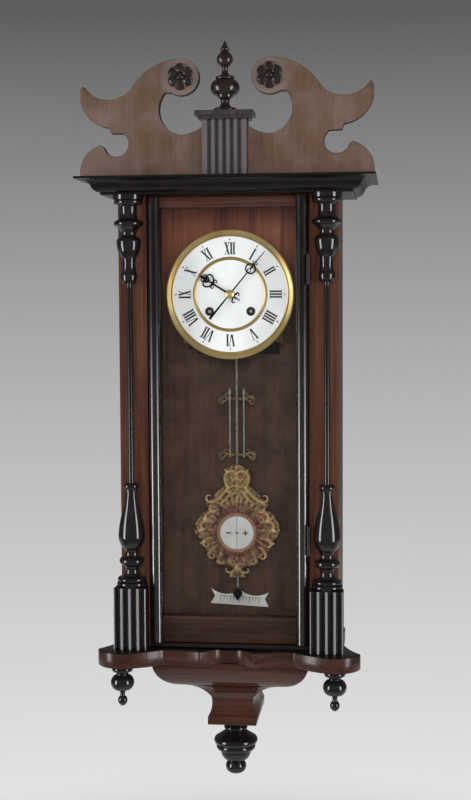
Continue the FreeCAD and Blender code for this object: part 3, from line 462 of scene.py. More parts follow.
@dataclass(frozen=True)
class PressedBrass(Finish):
    """Pressed brass under old lacquer: gold outer leaves, copper brown round the middle, dark hollows."""

    outer: str = "#efcc90"
    inner: str = "#c4917a"
    hollow: str = "#553a2f"
    cloud: float = 12.0
    stray: float = 34.0
    reddened: Point = (50.0, 72.0)
    floor_depth: float = 43.6
    top_depth: float = 47.6
    metallic: float = 0.6

    def paint(self, graph: Graph) -> None:
        """Lays brass that darkens in the hollows and reddens inwards.

        Args:
            graph: The material's nodes.
        """
        inwards = graph.add("SeparateXYZ").outputs[1]
        rise = graph.add("MapRange", {0: inwards, 1: -self.floor_depth * MM, 2: -self.top_depth * MM})
        cloud = graph.add("TexNoise", {"Scale": per(self.cloud), "Detail": 4, "Roughness": 0.6})
        level = graph.add("Mix", {0: 0.3, 2: rise, 3: cloud})
        spread = graph.add("Mapping", {"Scale": (1, 0, 1), "Location": at(0, 0, -BOB_Z)})
        reach = graph.add("VectorMath", {0: spread}, operation="LENGTH")
        stray = graph.add("Math", {0: cloud, 1: self.stray * MM, 2: reach}, operation="MULTIPLY_ADD")
        away = graph.add("MapRange", {0: stray, 1: self.reddened[0] * MM, 2: self.reddened[1] * MM})
        leaf = graph.add("Mix", {0: away, 6: self.inner, 7: self.outer}, data_type="RGBA")
        high = graph.add("MapRange", {0: level, 1: 0.2, 2: 0.6})
        skin = graph.add("Mix", {0: high, 6: self.hollow, 7: leaf}, data_type="RGBA")
        rough = graph.add("MapRange", {0: level, 3: 0.6, 4: 0.26})
        graph.feed({"Base Color": skin, "Roughness": rough, "Metallic": self.metallic})


@dataclass(frozen=True)
class Enamel(Finish):
    """Fired white enamel: a hard wet gloss, faintly warmer and dimmer in clouds."""

    white: str
    aged: str
    rough: float = 0.16
    cloud: float = 45.0
    peel: float = 6.0

    def paint(self, graph: Graph) -> None:
        """Lays white enamel with clouds of age and a faint orange peel.

        Args:
            graph: The material's nodes.
        """
        cloud = graph.add("TexNoise", {"Scale": per(self.cloud), "Detail": 4})
        skin = graph.add("ValToRGB", {0: cloud}, [(0.35, self.aged), (0.6, self.white)])
        rough = graph.add("MapRange", {0: cloud, 3: self.rough, 4: self.rough + 0.12})
        peel = graph.add("TexNoise", {"Scale": per(self.peel), "Detail": 2})
        bump = graph.add("Bump", {"Strength": 0.05, "Distance": 0.2 * MM, "Height": peel})
        graph.feed({"Base Color": skin, "Roughness": rough, "Normal": bump})


@dataclass(frozen=True)
class ClearGlass(Finish):
    """Old drawn glass: clear, with a slow ripple in its reflections."""

    tint: str = "#feffff"
    mirror: Point = (0.016, 0.3)
    ripple: float = 60.0

    def paint(self, graph: Graph) -> None:
        """Lays clear glass that shows what is behind it.

        Args:
            graph: The material's nodes.
        """
        ripple = graph.add("TexNoise", {"Scale": per(self.ripple), "Detail": 1})
        bump = graph.add("Bump", {"Strength": 0.1, "Distance": 0.5 * MM, "Height": ripple})
        through = graph.add("BsdfTransparent", {"Color": self.tint})
        mirror = graph.add("BsdfGlossy", {"Color": WHITE, "Roughness": 0.03, "Normal": bump})
        # The reflection grows towards grazing, the same from both sides, so light isn't trapped in the pane.
        facing = graph.add("LayerWeight", {"Blend": 0.5}).outputs["Facing"]
        graze = graph.add("Math", {0: facing, 1: 5.0}, operation="POWER")
        edge = graph.add("MapRange", {0: graze, 3: self.mirror[0], 4: self.mirror[1]})
        pane = graph.add("MixShader", {0: edge, 1: through, 2: mirror})
        graph.feed({"Surface": pane}, graph.tree.nodes["Material Output"])
        graph.tree.nodes.remove(graph.shader)


@dataclass(frozen=True)
class Paint(Finish):
    """Thin paint or printing ink: matt, worn a little thin in specks."""

    solid: str
    thin: str
    rough: float = 0.55
    speck: float = 2.0

    def paint(self, graph: Graph) -> None:
        """Lays a thin dark coat.

        Args:
            graph: The material's nodes.
        """
        wear = graph.add("TexNoise", {"Scale": per(self.speck), "Detail": 3})
        coat = graph.add("ValToRGB", {0: wear}, [(0.5, self.solid), (0.75, self.thin)])
        rough = graph.add("MapRange", {0: wear, 3: self.rough - 0.1, 4: self.rough + 0.15})
        graph.feed({"Base Color": coat, "Roughness": rough})


# Walnut, planed and French polished: red brown, streaked, with a soft reflection over open pores.
STILE_WALNUT = Walnut("french_polished_walnut_upright", "#30170f", "#47291d", "#5a3526")
RAIL_WALNUT = Walnut("french_polished_walnut_level", "#1e120d", "#2e1e18", "#3c271f", Grain.LEVEL)
TOP_WALNUT = Walnut("french_polished_walnut_top_rail", "#2b1811", "#40281f", "#503328", Grain.LEVEL)
# The crest has lost its polish to light: paler, greyer and duller than the case. The grey round its scroll eyes is
# painted sheen, and the dark on its edges painted shade.
CREST_WALNUT = CrestWalnut("faded_walnut_crest", "#4d3a2e", "#574337", "#604b3d", Grain.UPRIGHT, 0.5, 0.0)
SHELF_WALNUT = ShelfWalnut("french_polished_walnut_shelf", "#22110c", "#351e17", "#462920", Grain.LEVEL)
CORBEL_WALNUT = Walnut("french_polished_walnut_corbel", "#26130d", "#3a2018", "#4a2c22", Grain.LEVEL, 0.1, 0.35)
# Its walnut colours are lighter and redder, painted light for the top of the board; the blotched browns lower down
# are its own.
BACK_WALNUT = BackVeneer("walnut_veneer_backboard", "#653225", "#8b503a", "#a4674e", Grain.UPRIGHT, 0.45, 0.1)
# Ebonised fruitwood, turned or planed: black gloss that shows the softboxes as clean streaks.
EBONISED = EbonisedWood("ebonised_fruitwood")
EBONISED_DOOR = FadedGloss("ebonised_fruitwood_door", rough=0.12, shine=1.0)
EBONISED_COLUMN = FadedGloss("ebonised_fruitwood_column", low=(-330.0, -160.0), top=(-84.0, -78.0))
# On the fluted block and plinth the lands are paler: partly rubbed wear, partly painted highlight.
EBONISED_FLUTED = FadedGloss("ebonised_fruitwood_fluted", axis=1, low=(-165.4, -164.6), rubbed="#77767a")
EBONISED_PLINTH = FadedGloss("ebonised_fruitwood_plinth", "#342d2e", "#453a3a", 0.16, axis=1,
                             low=(-168.4, -167.6), rubbed="#544e50")
EBONISED_CARVED = EbonisedWood("ebonised_fruitwood_carved", "#1e1616", "#3a2922", 0.16)
EBONISED_PLANED = EbonisedWood("ebonised_fruitwood_planed", "#0c090a", "#1a110e", 0.26, 0.26)
EBONISED_RUBBED = EbonisedWood("ebonised_fruitwood_rubbed", "#2c2728", "#443a39", 0.16)
# Lacquered rolled brass, spun or filed: pale gold with a sharp bright line on its steps.
BEZEL_BRASS = SpunBrass("spun_brass_bezel", "#dbc186", "#b7985a", 0.36, 60.0, 0.8, 0.0)
MOVEMENT_BRASS = Metal("filed_brass_movement", "#c9a860", "#96783f", 0.3)
# Blackened brass on the grommets, its black partly painted shade in the winding holes; on the dial plate it is
# painted shade only.
GROMMET_AND_HOLE_SHADE = Metal("blackened_brass_grommets", "#1f1d1b", "#121110", 0.45, 4.0, 0.3)
FRAME_BRASS = Metal("tarnished_brass_pendulum_frame", "#b59d74", "#846d4d", 0.3, 6.0, 0.7)
BOB_BRASS = PressedBrass("pressed_brass_bob")
# Drawn steel: grey and satin on the rods, nearly black where it is blued.
ROD_STEEL = Metal("drawn_steel_rods", "#cfcdc9", "#a5a19b", 0.3, 10.0, 0.6)
BLUED_STEEL = Metal("blued_steel_hands", "#22232a", "#121216", 0.36, 6.0)
# Japanned iron: a soft black coat that hides the metal.
BLACK_IRON = Metal("japanned_cast_iron", "#1f1a17", "#120f0d", 0.55, 5.0, 0.3)
HINGE_IRON = Metal("japanned_iron_hinges", "#0a0808", "#060505", 0.5, 5.0, 0.0)
# Fired enamel and its print: hard white, with a wet gloss on the dial and dusty on the scale, and flat black. The
# dial's white is painted darker for the light it gets, the scale's and roundel's lighter for the shade they hang
# in.
DIAL_ENAMEL = Enamel("fired_white_enamel", "#dddcdd", "#d3d1d2")
SCALE_ENAMEL = Enamel("dusty_white_enamel_scale", "#e4e3df", "#d2d0ca", 0.3)
INK = Paint("black_enamel_print", "#17171b", "#2c2c31")
# Drawn glass: hardly seen from the front, a rippled mirror at a slant.
GLASS = ClearGlass("old_drawn_glass")


def clear() -> None:
    """Leaves edit mode and deselects everything."""
    if bpy.context.object and bpy.context.object.mode != "OBJECT":
        bpy.ops.object.mode_set(mode="OBJECT")
    bpy.ops.object.select_all(action="DESELECT")


def take(*pieces: Piece) -> None:
    """Selects only some pieces, with the first one active.

    Args:
        pieces: The pieces.
    """
    clear()
    for piece in pieces:
        piece.select_set(True)
    bpy.context.view_layer.objects.active = pieces[0]


def apply(piece: Piece, move: Matrix | None = None) -> Piece:
    """Puts a piece's place, turn and scale into its mesh.

    Args:
        piece: The piece.
        move: Where it goes first, in metres.

    Returns:
        The same piece.
    """
    if move is not None:
        piece.matrix_world = move @ piece.matrix_world
    take(piece)
    bpy.ops.object.transform_apply(location=True, rotation=True, scale=True)
    return piece


def start(shape: Callable, place: Vector, scale: Triple = (1, 1, 1), **settings: object) -> Piece:
    """Starts a piece from a primitive.

    Args:
        shape: The operator that adds the primitive.
        place: Its middle, in metres.
        scale: How far it is stretched along its own axes.
        settings: The operator's other settings.

    Returns:
        The piece.
    """
    clear()
    shape(location=place, **settings)
    bpy.context.object.scale = scale
    return apply(bpy.context.object)


def edit(piece: Piece, kind: Part, test: Callable[[object], bool] = lambda element: True) -> None:
    """Opens a piece in edit mode with only the chosen elements selected.

    Args:
        piece: The piece.
        kind: Whether vertices or faces are chosen.
        test: Says of each whether it is.
    """
    take(piece)
    bpy.ops.object.mode_set(mode="EDIT")
    bpy.ops.mesh.select_mode(type=kind.name)
    bpy.ops.mesh.select_all(action="DESELECT")
    bpy.ops.object.mode_set(mode="OBJECT")
    for element in getattr(piece.data, kind.value):
        element.select = test(element)
    bpy.ops.object.mode_set(mode="EDIT")


def modify(piece: Piece, kind: str, **settings: object) -> None:
    """Adds a modifier to a piece and applies it.

    Args:
        piece: The piece.
        kind: The modifier's type.
        settings: The modifier's properties.
    """
    take(piece)
    bpy.ops.object.modifier_add(type=kind)
    made = piece.modifiers[-1]
    for name, value in settings.items():
        setattr(made, name, value)
    bpy.ops.object.modifier_apply(modifier=made.name)


def copy(piece: Piece, move: Matrix) -> Piece:
    """Copies a piece with a mesh of its own.

    Args:
        piece: The piece.
        move: Where the copy goes, in metres.

    Returns:
        The copy.
    """
    take(piece)
    bpy.ops.object.duplicate()
    return apply(bpy.context.object, move)


def around(piece: Piece, middle: Matrix, count: int) -> list[Piece]:
    """Copies a piece round an axis that points to the front.

    Args:
        piece: The first piece.
        middle: The place of the axis.
        count: How many pieces stand round it.

    Returns:
        All of them.
    """
    back = middle.inverted()
    return [piece] + [copy(piece, middle @ turn(360 * number / count) @ back) for number in range(1, count)]


def mirrored(pieces: Sequence[Piece]) -> list[Piece]:
    """Copies pieces to the clock's other side, and gives those of both sides."""
    flip = Matrix.Scale(-1, 4, (1, 0, 0))
    return [*pieces, *[copy(piece, flip) for piece in pieces]]


def join(pieces: Sequence[Piece]) -> Piece:
    """Joins pieces into the first of them.

    Args:
        pieces: The pieces.

    Returns:
        The joined piece.
    """
    take(*pieces)
    bpy.ops.object.join()
    return bpy.context.object


def drop(*pieces: Piece) -> None:
    """Deletes patterns that were only modelled to be copied."""
    take(*pieces)
    bpy.ops.object.delete()


def lift(node: str) -> Piece:
    """Copies a CAD node's mesh into a new piece, its triangles merged into faces.

    Args:
        node: The CAD node's name.

    Returns:
        The new piece.
    """
    made = bpy.data.objects.new(node + "_copy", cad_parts[node].data.copy())
    bpy.context.scene.collection.objects.link(made)
    take(made)
    bpy.ops.mesh.customdata_custom_splitnormals_clear()
    edit(made, Part.VERT)
    bpy.ops.mesh.remove_doubles(threshold=WELD)
    bpy.ops.mesh.dissolve_limited(angle_limit=math.radians(0.4))
    clear()
    return made


def ease(node: str, width: float, cuts: Sequence[float] = ()) -> Piece:
    """Copies a CAD node with its sharp edges eased, as sandpaper leaves them.

    Args:
        node: The CAD node's name.
        width: The width of the eased edge.
        cuts: Heights at which long faces are cut across, so that eased ends don't bend their shading.

    Returns:
        The new piece.
    """
    made = lift(node)
    modify(made, "BEVEL", width=width * MM, segments=2, limit_method="ANGLE", angle_limit=math.radians(38),
           use_clamp_overlap=False)
    for z in cuts:
        edit(made, Part.FACE)
        bpy.ops.mesh.bisect(plane_co=at(0, 0, z), plane_no=(0, 0, 1))
    clear()
    return made


def bar(x: float, depth: float, z: float, size: Triple, lean: float = 0.0, taper: float = 1.0) -> Piece:
    """Models a flat bar from a cube.

    Args:
        x: The bar's middle, across.
        depth: The bar's middle, out from the wall.
        z: The bar's middle, upwards.
        size: Its width, thickness and height.
        lean: How far its top end is pushed to the right.
        taper: The share of its width left at its top end.

    Returns:
        The bar.
    """
    made = start(bpy.ops.mesh.primitive_cube_add, at(x, depth, z), size, size=MM)
    edit(made, Part.VERT, lambda vertex: vertex.co.z > z * MM)
    bpy.ops.transform.resize(value=(taper, 1, 1), center_override=at(x, depth, z))
    bpy.ops.transform.translate(value=(lean * MM, 0, 0))
    clear()
    return made


def ball(x: float, depth: float, z: float, size: Triple) -> Piece:
    """Models a rounded lump of this place and this width, thickness and height."""
    return start(bpy.ops.mesh.primitive_uv_sphere_add, at(x, depth, z), size, segments=20, ring_count=12,
                 radius=MM / 2)


def ring(x: float, depth: float, z: float, radius: float, width: float, thick: float) -> Piece:
    """Models a ring that faces the front, of this place, radius, and width and thickness of its bar."""
    return start(bpy.ops.mesh.primitive_torus_add, at(x, depth, z), (1, 1, thick / width), major_segments=72,
                 minor_segments=10, major_radius=radius * MM, minor_radius=width / 2 * MM, rotation=FACING)


def turned(x: float, depth: float, profile: Sequence[Point], sides: int = 20) -> Piece:
    """Models an upright turning, one ring extruded from the last.

    Args:
        x: The axis, across.
        depth: The axis, out from the wall.
        profile: The height and radius of each ring, from one end to the other.
        sides: How many sides a ring has.

    Returns:
        The turning.
    """
    height, radius = profile[0]
    made = start(bpy.ops.mesh.primitive_circle_add, at(x, depth, height), vertices=sides, radius=radius * MM,
                 fill_type="NGON")
    edit(made, Part.FACE)
    for level, size in profile[1:]:
        bpy.ops.mesh.extrude_region_move()
        bpy.ops.transform.translate(value=(0, 0, (level - height) * MM))
        bpy.ops.transform.resize(value=(size / radius,) * 3, center_override=at(x, depth, level))
        height, radius = level, size
    clear()
    return made


def spun(z: float, section: Sequence[Point], steps: int = 96) -> Piece:
    """Models a ring that faces the front, its closed section drawn point by point and then spun.

    Args:
        z: The height of its axis, which stands in the clock's middle.
        section: The radius and depth of each point of its section, in order.
        steps: How many sides the ring has.

    Returns:
        The ring.
    """
    radius, depth = section[0]
    made = start(bpy.ops.mesh.primitive_plane_add, at(radius, depth, z), size=MM)
    edit(made, Part.VERT)
    bpy.ops.mesh.merge(type="CENTER")
    for reach, level in [*section[1:], section[0]]:
        bpy.ops.mesh.extrude_region_move()
        bpy.ops.transform.translate(value=at(reach - radius, level - depth, 0))
        radius, depth = reach, level
    bpy.ops.mesh.select_all(action="SELECT")
    bpy.ops.mesh.remove_doubles(threshold=WELD)
    bpy.ops.mesh.spin(steps=steps, angle=2 * math.pi, center=at(0, 0, z), axis=(0, 1, 0))
    clear()
    return made


def scroll(x: float, depth: float, z: float, heading: float, section: Point, *curls: Triple) -> Piece:
    """Models a scroll as one bar that is extruded, turned and drawn in, step by step.

    Args:
        x: Where it starts, across.
        depth: How far out from the wall its middle lies.
        z: Where it starts, upwards.
        heading: Which way it sets off, in degrees from the right, upwards.
        section: The width and thickness of its bar.
        curls: Each bend's radius, its turn to the left in degrees, and the share of its size left at its end.

    Returns:
        The scroll.
    """
    made = start(bpy.ops.mesh.primitive_circle_add, at(x, depth, z), (*section, 1), vertices=10, radius=MM / 2,
                 fill_type="NGON", rotation=(0, math.radians(90 - heading), 0))
    edit(made, Part.FACE)
    for radius, bend, left in curls:
        aim, sweep = math.radians(heading), math.radians(bend)
        side = math.copysign(radius, bend)
        middle = Vector((x - side * math.sin(aim), z + side * math.cos(aim)))
        # Steps of at most 14 degrees and 4 millimetres.
        steps = max(3, math.ceil(abs(bend) / 14), math.ceil(abs(sweep) * radius / 4))
        pivot = at(middle.x, depth, middle.y)
        for _ in range(steps):
            bpy.ops.mesh.extrude_region_move()
            bpy.ops.transform.rotate(value=sweep / steps, orient_axis="Y", center_override=pivot)
            bpy.ops.transform.resize(value=(left ** (1 / steps),) * 3, center_override=pivot)
        x, z = Matrix.Rotation(sweep, 2) @ (Vector((x, z)) - middle) * left + middle
        heading += bend
    clear()
    return made


def scrolls(z: float, depth: float, *rows: tuple) -> list[Piece]:
    """Models scrolls, each row with a start across and above z, a heading, a bar and its curls."""
    return [scroll(x, depth, z + up, heading, section, *curls) for x, up, heading, section, *curls in rows]


def settle(piece: Piece, name: str, finish: Finish, body: str, nodes: Sequence[str] = (),
           angle: float = 34.0) -> Piece:
    """Closes a finished piece, dresses it and sets it riding on its body.

    Args:
        piece: The modelled piece.
        name: The name it keeps.
        finish: Its finish.
        body: The body that carries it.
        nodes: The CAD nodes that it stands for.
        angle: The angle above which an edge stays sharp.

    Returns:
        The piece.
    """
    apply(piece)
    edit(piece, Part.VERT)
    bpy.ops.mesh.remove_doubles(threshold=CLOSE)
    bpy.ops.mesh.normals_make_consistent(inside=False)
    take(piece)
    bpy.ops.object.shade_smooth_by_angle(angle=math.radians(angle))
    piece.name = name
    piece.data.name = name
    piece.data.materials.clear()
    piece.data.materials.append(finish.material())
    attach(piece, body)
    if nodes:
        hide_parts(*nodes)
    LOG.info("built %s on %s", name, body)
    return piece


def dress(finish: Finish, *nodes: str) -> None:
    """Gives CAD nodes whose shape is right a finish.

    Args:
        finish: The finish.
        nodes: The names of the nodes.
    """
    for node in nodes:
        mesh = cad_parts[node].data
        mesh.materials.clear()
        mesh.materials.append(finish.material())
        LOG.info("dressed %s in %s", node, finish.name)


@dataclass
class Crest:
    """The crest: pediment board, fluted plinth with cap and finial, and two carved rosettes."""

    eye: Point = EYE
    board_face: float = 155.0
    petals: int = 6
    petal_reach: float = 10.9
    petal_rise: float = 4.0
    petal_size: Triple = (15.4, 8.4, 13.6)
    petal_foot: float = 0.74
    button_rise: float = 5.2
    button_size: Triple = (9.4, 7.0, 9.4)
    disc_radius: float = 12.5
    disc_thick: float = 4.0
    edge: float = 1.2
    land_edge: float = 0.8
    plinth_cuts: Point = (66.0, 132.0)

    def rosette(self) -> Piece:
        """Carves one rosette: cupped petals round a button, on a disc.

        Returns:
            The rosette, at the right hand place.
        """
        (x, z), face = self.eye, self.board_face
        petal = ball(x, face + self.petal_rise, z + self.petal_reach, self.petal_size)
        button = ball(x, face + self.button_rise, z, self.button_size)
        # The front of each, as far as its faces slope by this much, is sunk inside a rim of this width.
        for lump, slope, rim, sunk in ((petal, -0.72, 0.8, (0, -1.5, -0.4)), (button, -0.86, 0.45, (0, -0.8, 0))):
            edit(lump, Part.FACE, lambda part: part.normal.y < slope)
            bpy.ops.mesh.inset(thickness=rim * MM)
            bpy.ops.transform.translate(value=at(*sunk))
        edit(petal, Part.VERT, lambda vertex: vertex.co.z < (z + self.petal_reach - 2) * MM)
        bpy.ops.transform.resize(value=(self.petal_foot, 1, 1), center_override=at(x, face + self.petal_rise, z))
        for lump in (petal, button):
            modify(lump, "SUBSURF", levels=1, render_levels=1)
        disc = start(bpy.ops.mesh.primitive_cylinder_add, at(x, face + self.disc_thick / 2, z), vertices=48,
                     radius=self.disc_radius * MM, depth=self.disc_thick * MM, rotation=FACING)
        modify(disc, "BEVEL", width=0.8 * MM, segments=2)
        return join([disc, button, *around(petal, shift(x, 0, z), self.petals)])

    def build(self) -> None:
        """Builds the crest's boards and rosettes, and dresses its turnings."""
        board = settle(ease("pediment_board", self.edge), "crest_board", CREST_WALNUT, "case",
                       ["pediment_board"])
        # Marks the board's edge faces, which its walnut darkens as painted shade.
        painted_edge_shade = board.data.attributes.new(CREST_WALNUT.mark, "FLOAT", "FACE")
        for face in board.data.polygons:
            painted_edge_shade.data[face.index].value = float(abs(face.normal.y) < 0.6)
        settle(join(mirrored([self.rosette()])), "carved_rosettes", EBONISED_CARVED, "case",
               ["rosettes"])
        settle(ease("crest_plinth", self.land_edge, self.plinth_cuts), "crest_fluted_plinth", EBONISED_PLINTH,
               "case", ["crest_plinth"])
        dress(EBONISED_CARVED, "crest_finial")
        dress(EBONISED_RUBBED, "crest_cap")
        dress(EBONISED_PLANED, "cornice")


@dataclass
class Case:
    """The case: boards, half columns, fluted blocks, shelf, corbel, drops and hanging plate."""

    edge: float = 0.8
    shelf_edge: float = 1.4
    corbel_edge: float = 1.0
    land_edge: float = 0.9
    block_cuts: Point = (-566.0, -488.0)

    def build(self) -> None:
        """Eases the case's boards and dresses its turnings."""
        for node, name, width, finish in (
                ("front_stiles", "case_front_stiles", self.edge, STILE_WALNUT),
                ("shelf", "serpentine_shelf", self.shelf_edge, SHELF_WALNUT),
                ("corbel", "moulded_corbel", self.corbel_edge, CORBEL_WALNUT)):
            settle(ease(node, width), name, finish, "case", [node])
        settle(ease("fluted_blocks", self.land_edge, self.block_cuts), "column_fluted_blocks", EBONISED_FLUTED,
               "case", ["fluted_blocks"])
        dress(STILE_WALNUT, "side_panels")
        dress(BACK_WALNUT, "backboard")
        dress(EBONISED_COLUMN, "column_left", "column_right")
        dress(EBONISED, "drop_finials", "pendant")
        dress(BLACK_IRON, "hanger_plate")
        dress(HINGE_IRON, "hinge_case_leaves")


@dataclass
class Door:
    """The door: two rounded stiles, two rails, its pane and its hinge leaves."""

    edge: float = 0.8

    def build(self) -> None:
        """Eases the rails and dresses the rest of the door."""
        for node, name, finish in (("door_top_rail", "door_rail_top", TOP_WALNUT),
                                   ("door_bottom_rail", "door_rail_bottom", RAIL_WALNUT)):
            settle(ease(node, self.edge), name, finish, "door", [node])
        dress(EBONISED_DOOR, "door_stiles")
        dress(GLASS, "door_glass")
        dress(HINGE_IRON, "hinge_door_leaves")


@dataclass
class Dial:
    """The dial: enamel, brass rings, printed hours and hour stars."""

    middle_z: float = DIAL_Z
    face_depth: float = 112.4
    print_thick: float = 0.12
    hour_radius: float = 61.8
    hour_height: float = 16.4
    stroke: float = 2.35
    hairline: float = 0.66
    star_radius: float = 73.7
    key_x: float = 28.0
    key_z: float = -115.0

    def letter(self, shape: str) -> Piece:
        """Models one Roman figure at the origin, upright.

        Args:
            shape: "I", "V" or "X".

        Returns:
            The figure.
        """
        tall, thick, hair = self.hour_height, self.stroke, self.hairline
        wide, narrow, thin = 2 * thick, 1.4 * thick, 1.4 * hair
        # Each stroke's place, width and lean, and each serif's place, end and width.
        strokes, serifs = {
            "I": (((0, thick, 0),), ((0, 1, wide), (0, -1, wide))),
            "V": (((-0.3, thick, -2.6), (0.5, thin, 2.6)), ((-2.9, 1, wide), (3.1, 1, narrow))),
            "X": (((2.3, thick, -4.6), (-2.3, thin, 4.6)),
                  ((-2.3, 1, wide), (2.3, -1, wide), (2.3, 1, narrow), (-2.3, -1, narrow))),
        }[shape]
        flat = self.print_thick
        return join([bar(x, 0, 0, (width, flat, tall - 1.2 * hair), lean) for x, width, lean in strokes]
                    + [bar(x, 0, end * (tall - hair) / 2, (width, flat, hair)) for x, end, width in serifs])

    def hours(self) -> Piece:
        """Prints the twelve hours and their stars.

        Returns:
            The hours as one piece.
        """
        widths = {"I": 3.7, "V": 7.6, "X": 7.4}
        figures = {shape: self.letter(shape) for shape in widths}
        star = join([bar(0, 0, 0, (0.8, self.print_thick, 3.4)), bar(0, 0, 0, (2.4, self.print_thick, 0.8))])
        parts = []
        for hour, word in enumerate("I II III IIII V VI VII VIII IX X XI XII".split(), 1):
            aim = shift(0, self.face_depth, self.middle_z) @ turn(30 * hour)
            x = -sum(widths[shape] for shape in word) / 2
            for shape in word:
                parts.append(copy(figures[shape], aim @ shift(x + widths[shape] / 2, 0, self.hour_radius)))
                x += widths[shape]
            parts.append(copy(star, aim @ shift(0, 0, self.star_radius)))
        drop(star, *figures.values())
        return join(parts)

    def build(self) -> None:
        """Builds the hours, brass rings and grommets, and dresses the enamel."""
        settle(self.hours(), "dial_hours", INK, "case")
        # Rolled edge, a wide slope inwards held by close edges, and a bead beside the enamel.
        bezel = spun(self.middle_z, [
            (87.4, 109.8), (87.5, 112.6), (87.4, 113.6), (87.0, 114.5), (86.4, 115.1), (85.7, 115.4), (85.1, 115.4),
            (84.7, 115.3), (80.5, 113.0), (80.2, 112.9), (79.9, 113.1), (79.6, 113.5), (79.1, 113.8), (78.6, 113.7),
            (78.2, 113.4), (77.9, 112.9), (77.7, 112.4), (77.7, 109.8)])
        settle(bezel, "dial_bezel_spun", BEZEL_BRASS, "case", ["bezel"], BRASS_SHARP)
        inner = spun(self.middle_z, [
            (50.6, 112.3), (50.5, 112.6), (50.2, 112.9), (49.1, 113.5), (48.7, 113.6), (47.9, 113.6), (47.5, 113.5),
            (46.4, 112.9), (46.1, 112.6), (46.0, 112.3)])
        settle(inner, "dial_ring_beaded", BEZEL_BRASS, "case", ["dial_inner_ring"], BRASS_SHARP)
        # Grommets in the winding holes, whose black partly paints the shade inside the holes.
        lip = ring(self.key_x, self.face_depth - 0.4, self.key_z, 4.7, 3.2, 1.6)
        settle(join(mirrored([lip])), "winding_grommets", GROMMET_AND_HOLE_SHADE, "case")
        dress(DIAL_ENAMEL, "dial_enamel")
        # Painted shade: the brass plate behind the enamel is dressed near black, so the winding holes read dark.
        dress(GROMMET_AND_HOLE_SHADE, "dial_plate")


@dataclass
class Hands:
    """The two hands: blued steel with pierced ornament, under a brass nut."""

    middle_z: float = DIAL_Z
    minute_depth: float = 117.7
    hour_depth: float = 114.7
    thick: float = 0.9
    minute_angle: float = 39.7
    hour_angle: float = 302.0

    def lay(self, parts: Sequence[Piece], angle: float) -> Piece:
        """Joins a hand's parts, modelled pointing up from the origin, and turns it to its hour."""
        return apply(join(parts), shift(0, 0, self.middle_z) @ turn(angle))

    def minute(self) -> Piece:
        """Models the minute hand: boss, stem, open ring with its cross piece, point and tail.

        Returns:
            The hand.
        """
        depth, thick = self.minute_depth, self.thick
        half = scrolls(0, depth, (0.4, 51.6, 5, (1.5, thick), (4.0, 60, 0.9), (1.5, 160, 0.6)),
                       (0.4, 38.6, 10, (1.4, thick), (3.2, 150, 0.6)))
        return self.lay(mirrored(half) + [
            ball(0, depth, 0, (10.6, thick, 10.6)),
            bar(0, depth, 21, (1.9, thick, 34), taper=0.85),
            ring(0, depth, 44.4, 6.5, 1.9, thick),
            ball(0, depth, 46.5, (2.4, thick, 7.5)),
            bar(0, depth, 63, (2.1, thick, 25), taper=0.35),
            bar(0, depth, -24, (3.4, thick, 38), taper=0.5),
        ], self.minute_angle)

    def hour(self) -> Piece:
        """Models the hour hand: boss, stem, pierced fleur, point and a small leafy tail.

        Returns:
            The hand.
        """
        depth, thick = self.hour_depth, self.thick
        wire = (2.3, thick)
        half = scrolls(
            0, depth,
            (0.8, 26.5, 18, wire, (13, 46, 1), (4.2, 120, 1), (2.4, 170, 0.5)),
            (0.8, 33.5, 42, wire, (8, 40, 1), (2.8, 210, 0.5)),
            (0.8, 36.5, 70, wire, (7, -40, 1), (2.4, 220, 0.5)),
            (1.2, 28.5, 4, (2.0, thick), (9, -24, 1), (2.6, -230, 0.5)),
            (0.6, -4.0, -60, wire, (5.5, 60, 1), (2.6, -210, 0.5)))
        return self.lay(mirrored(half) + [
            ball(0, depth, 0, (11.4, thick, 11.4)),
            bar(0, depth, 15, (2.8, thick, 24), taper=0.8),
            bar(0, depth, 37.5, (2.6, thick, 22), taper=0.3),
            ball(0, depth, 43.5, (4.4, thick, 6.5)),
            bar(0, depth, -10, (1.0, thick, 12), taper=2.6),
        ], self.hour_angle)

    def build(self) -> None:
        """Builds both hands and their domed nut, and dresses the wheels that carry them."""
        settle(self.minute(), "minute_hand_pierced", BLUED_STEEL, "minute_arbor", ["minute_hand"])
        settle(self.hour(), "hour_hand_pierced", BLUED_STEEL, "hour_arbor", ["hour_hand"])
        nut = spun(self.middle_z, [
            (0.0, 118.3), (5.9, 118.3), (6.1, 118.8), (5.8, 119.3), (5.2, 119.5), (4.7, 119.9), (3.9, 120.5),
            (2.8, 120.9), (1.4, 121.15), (0.0, 121.2)], 48)
        settle(nut, "domed_hand_nut", BEZEL_BRASS, "minute_arbor", ["hand_nut"], BRASS_SHARP)
        dress(MOVEMENT_BRASS, "cannon_pinion", "hour_wheel", "minute_wheel")


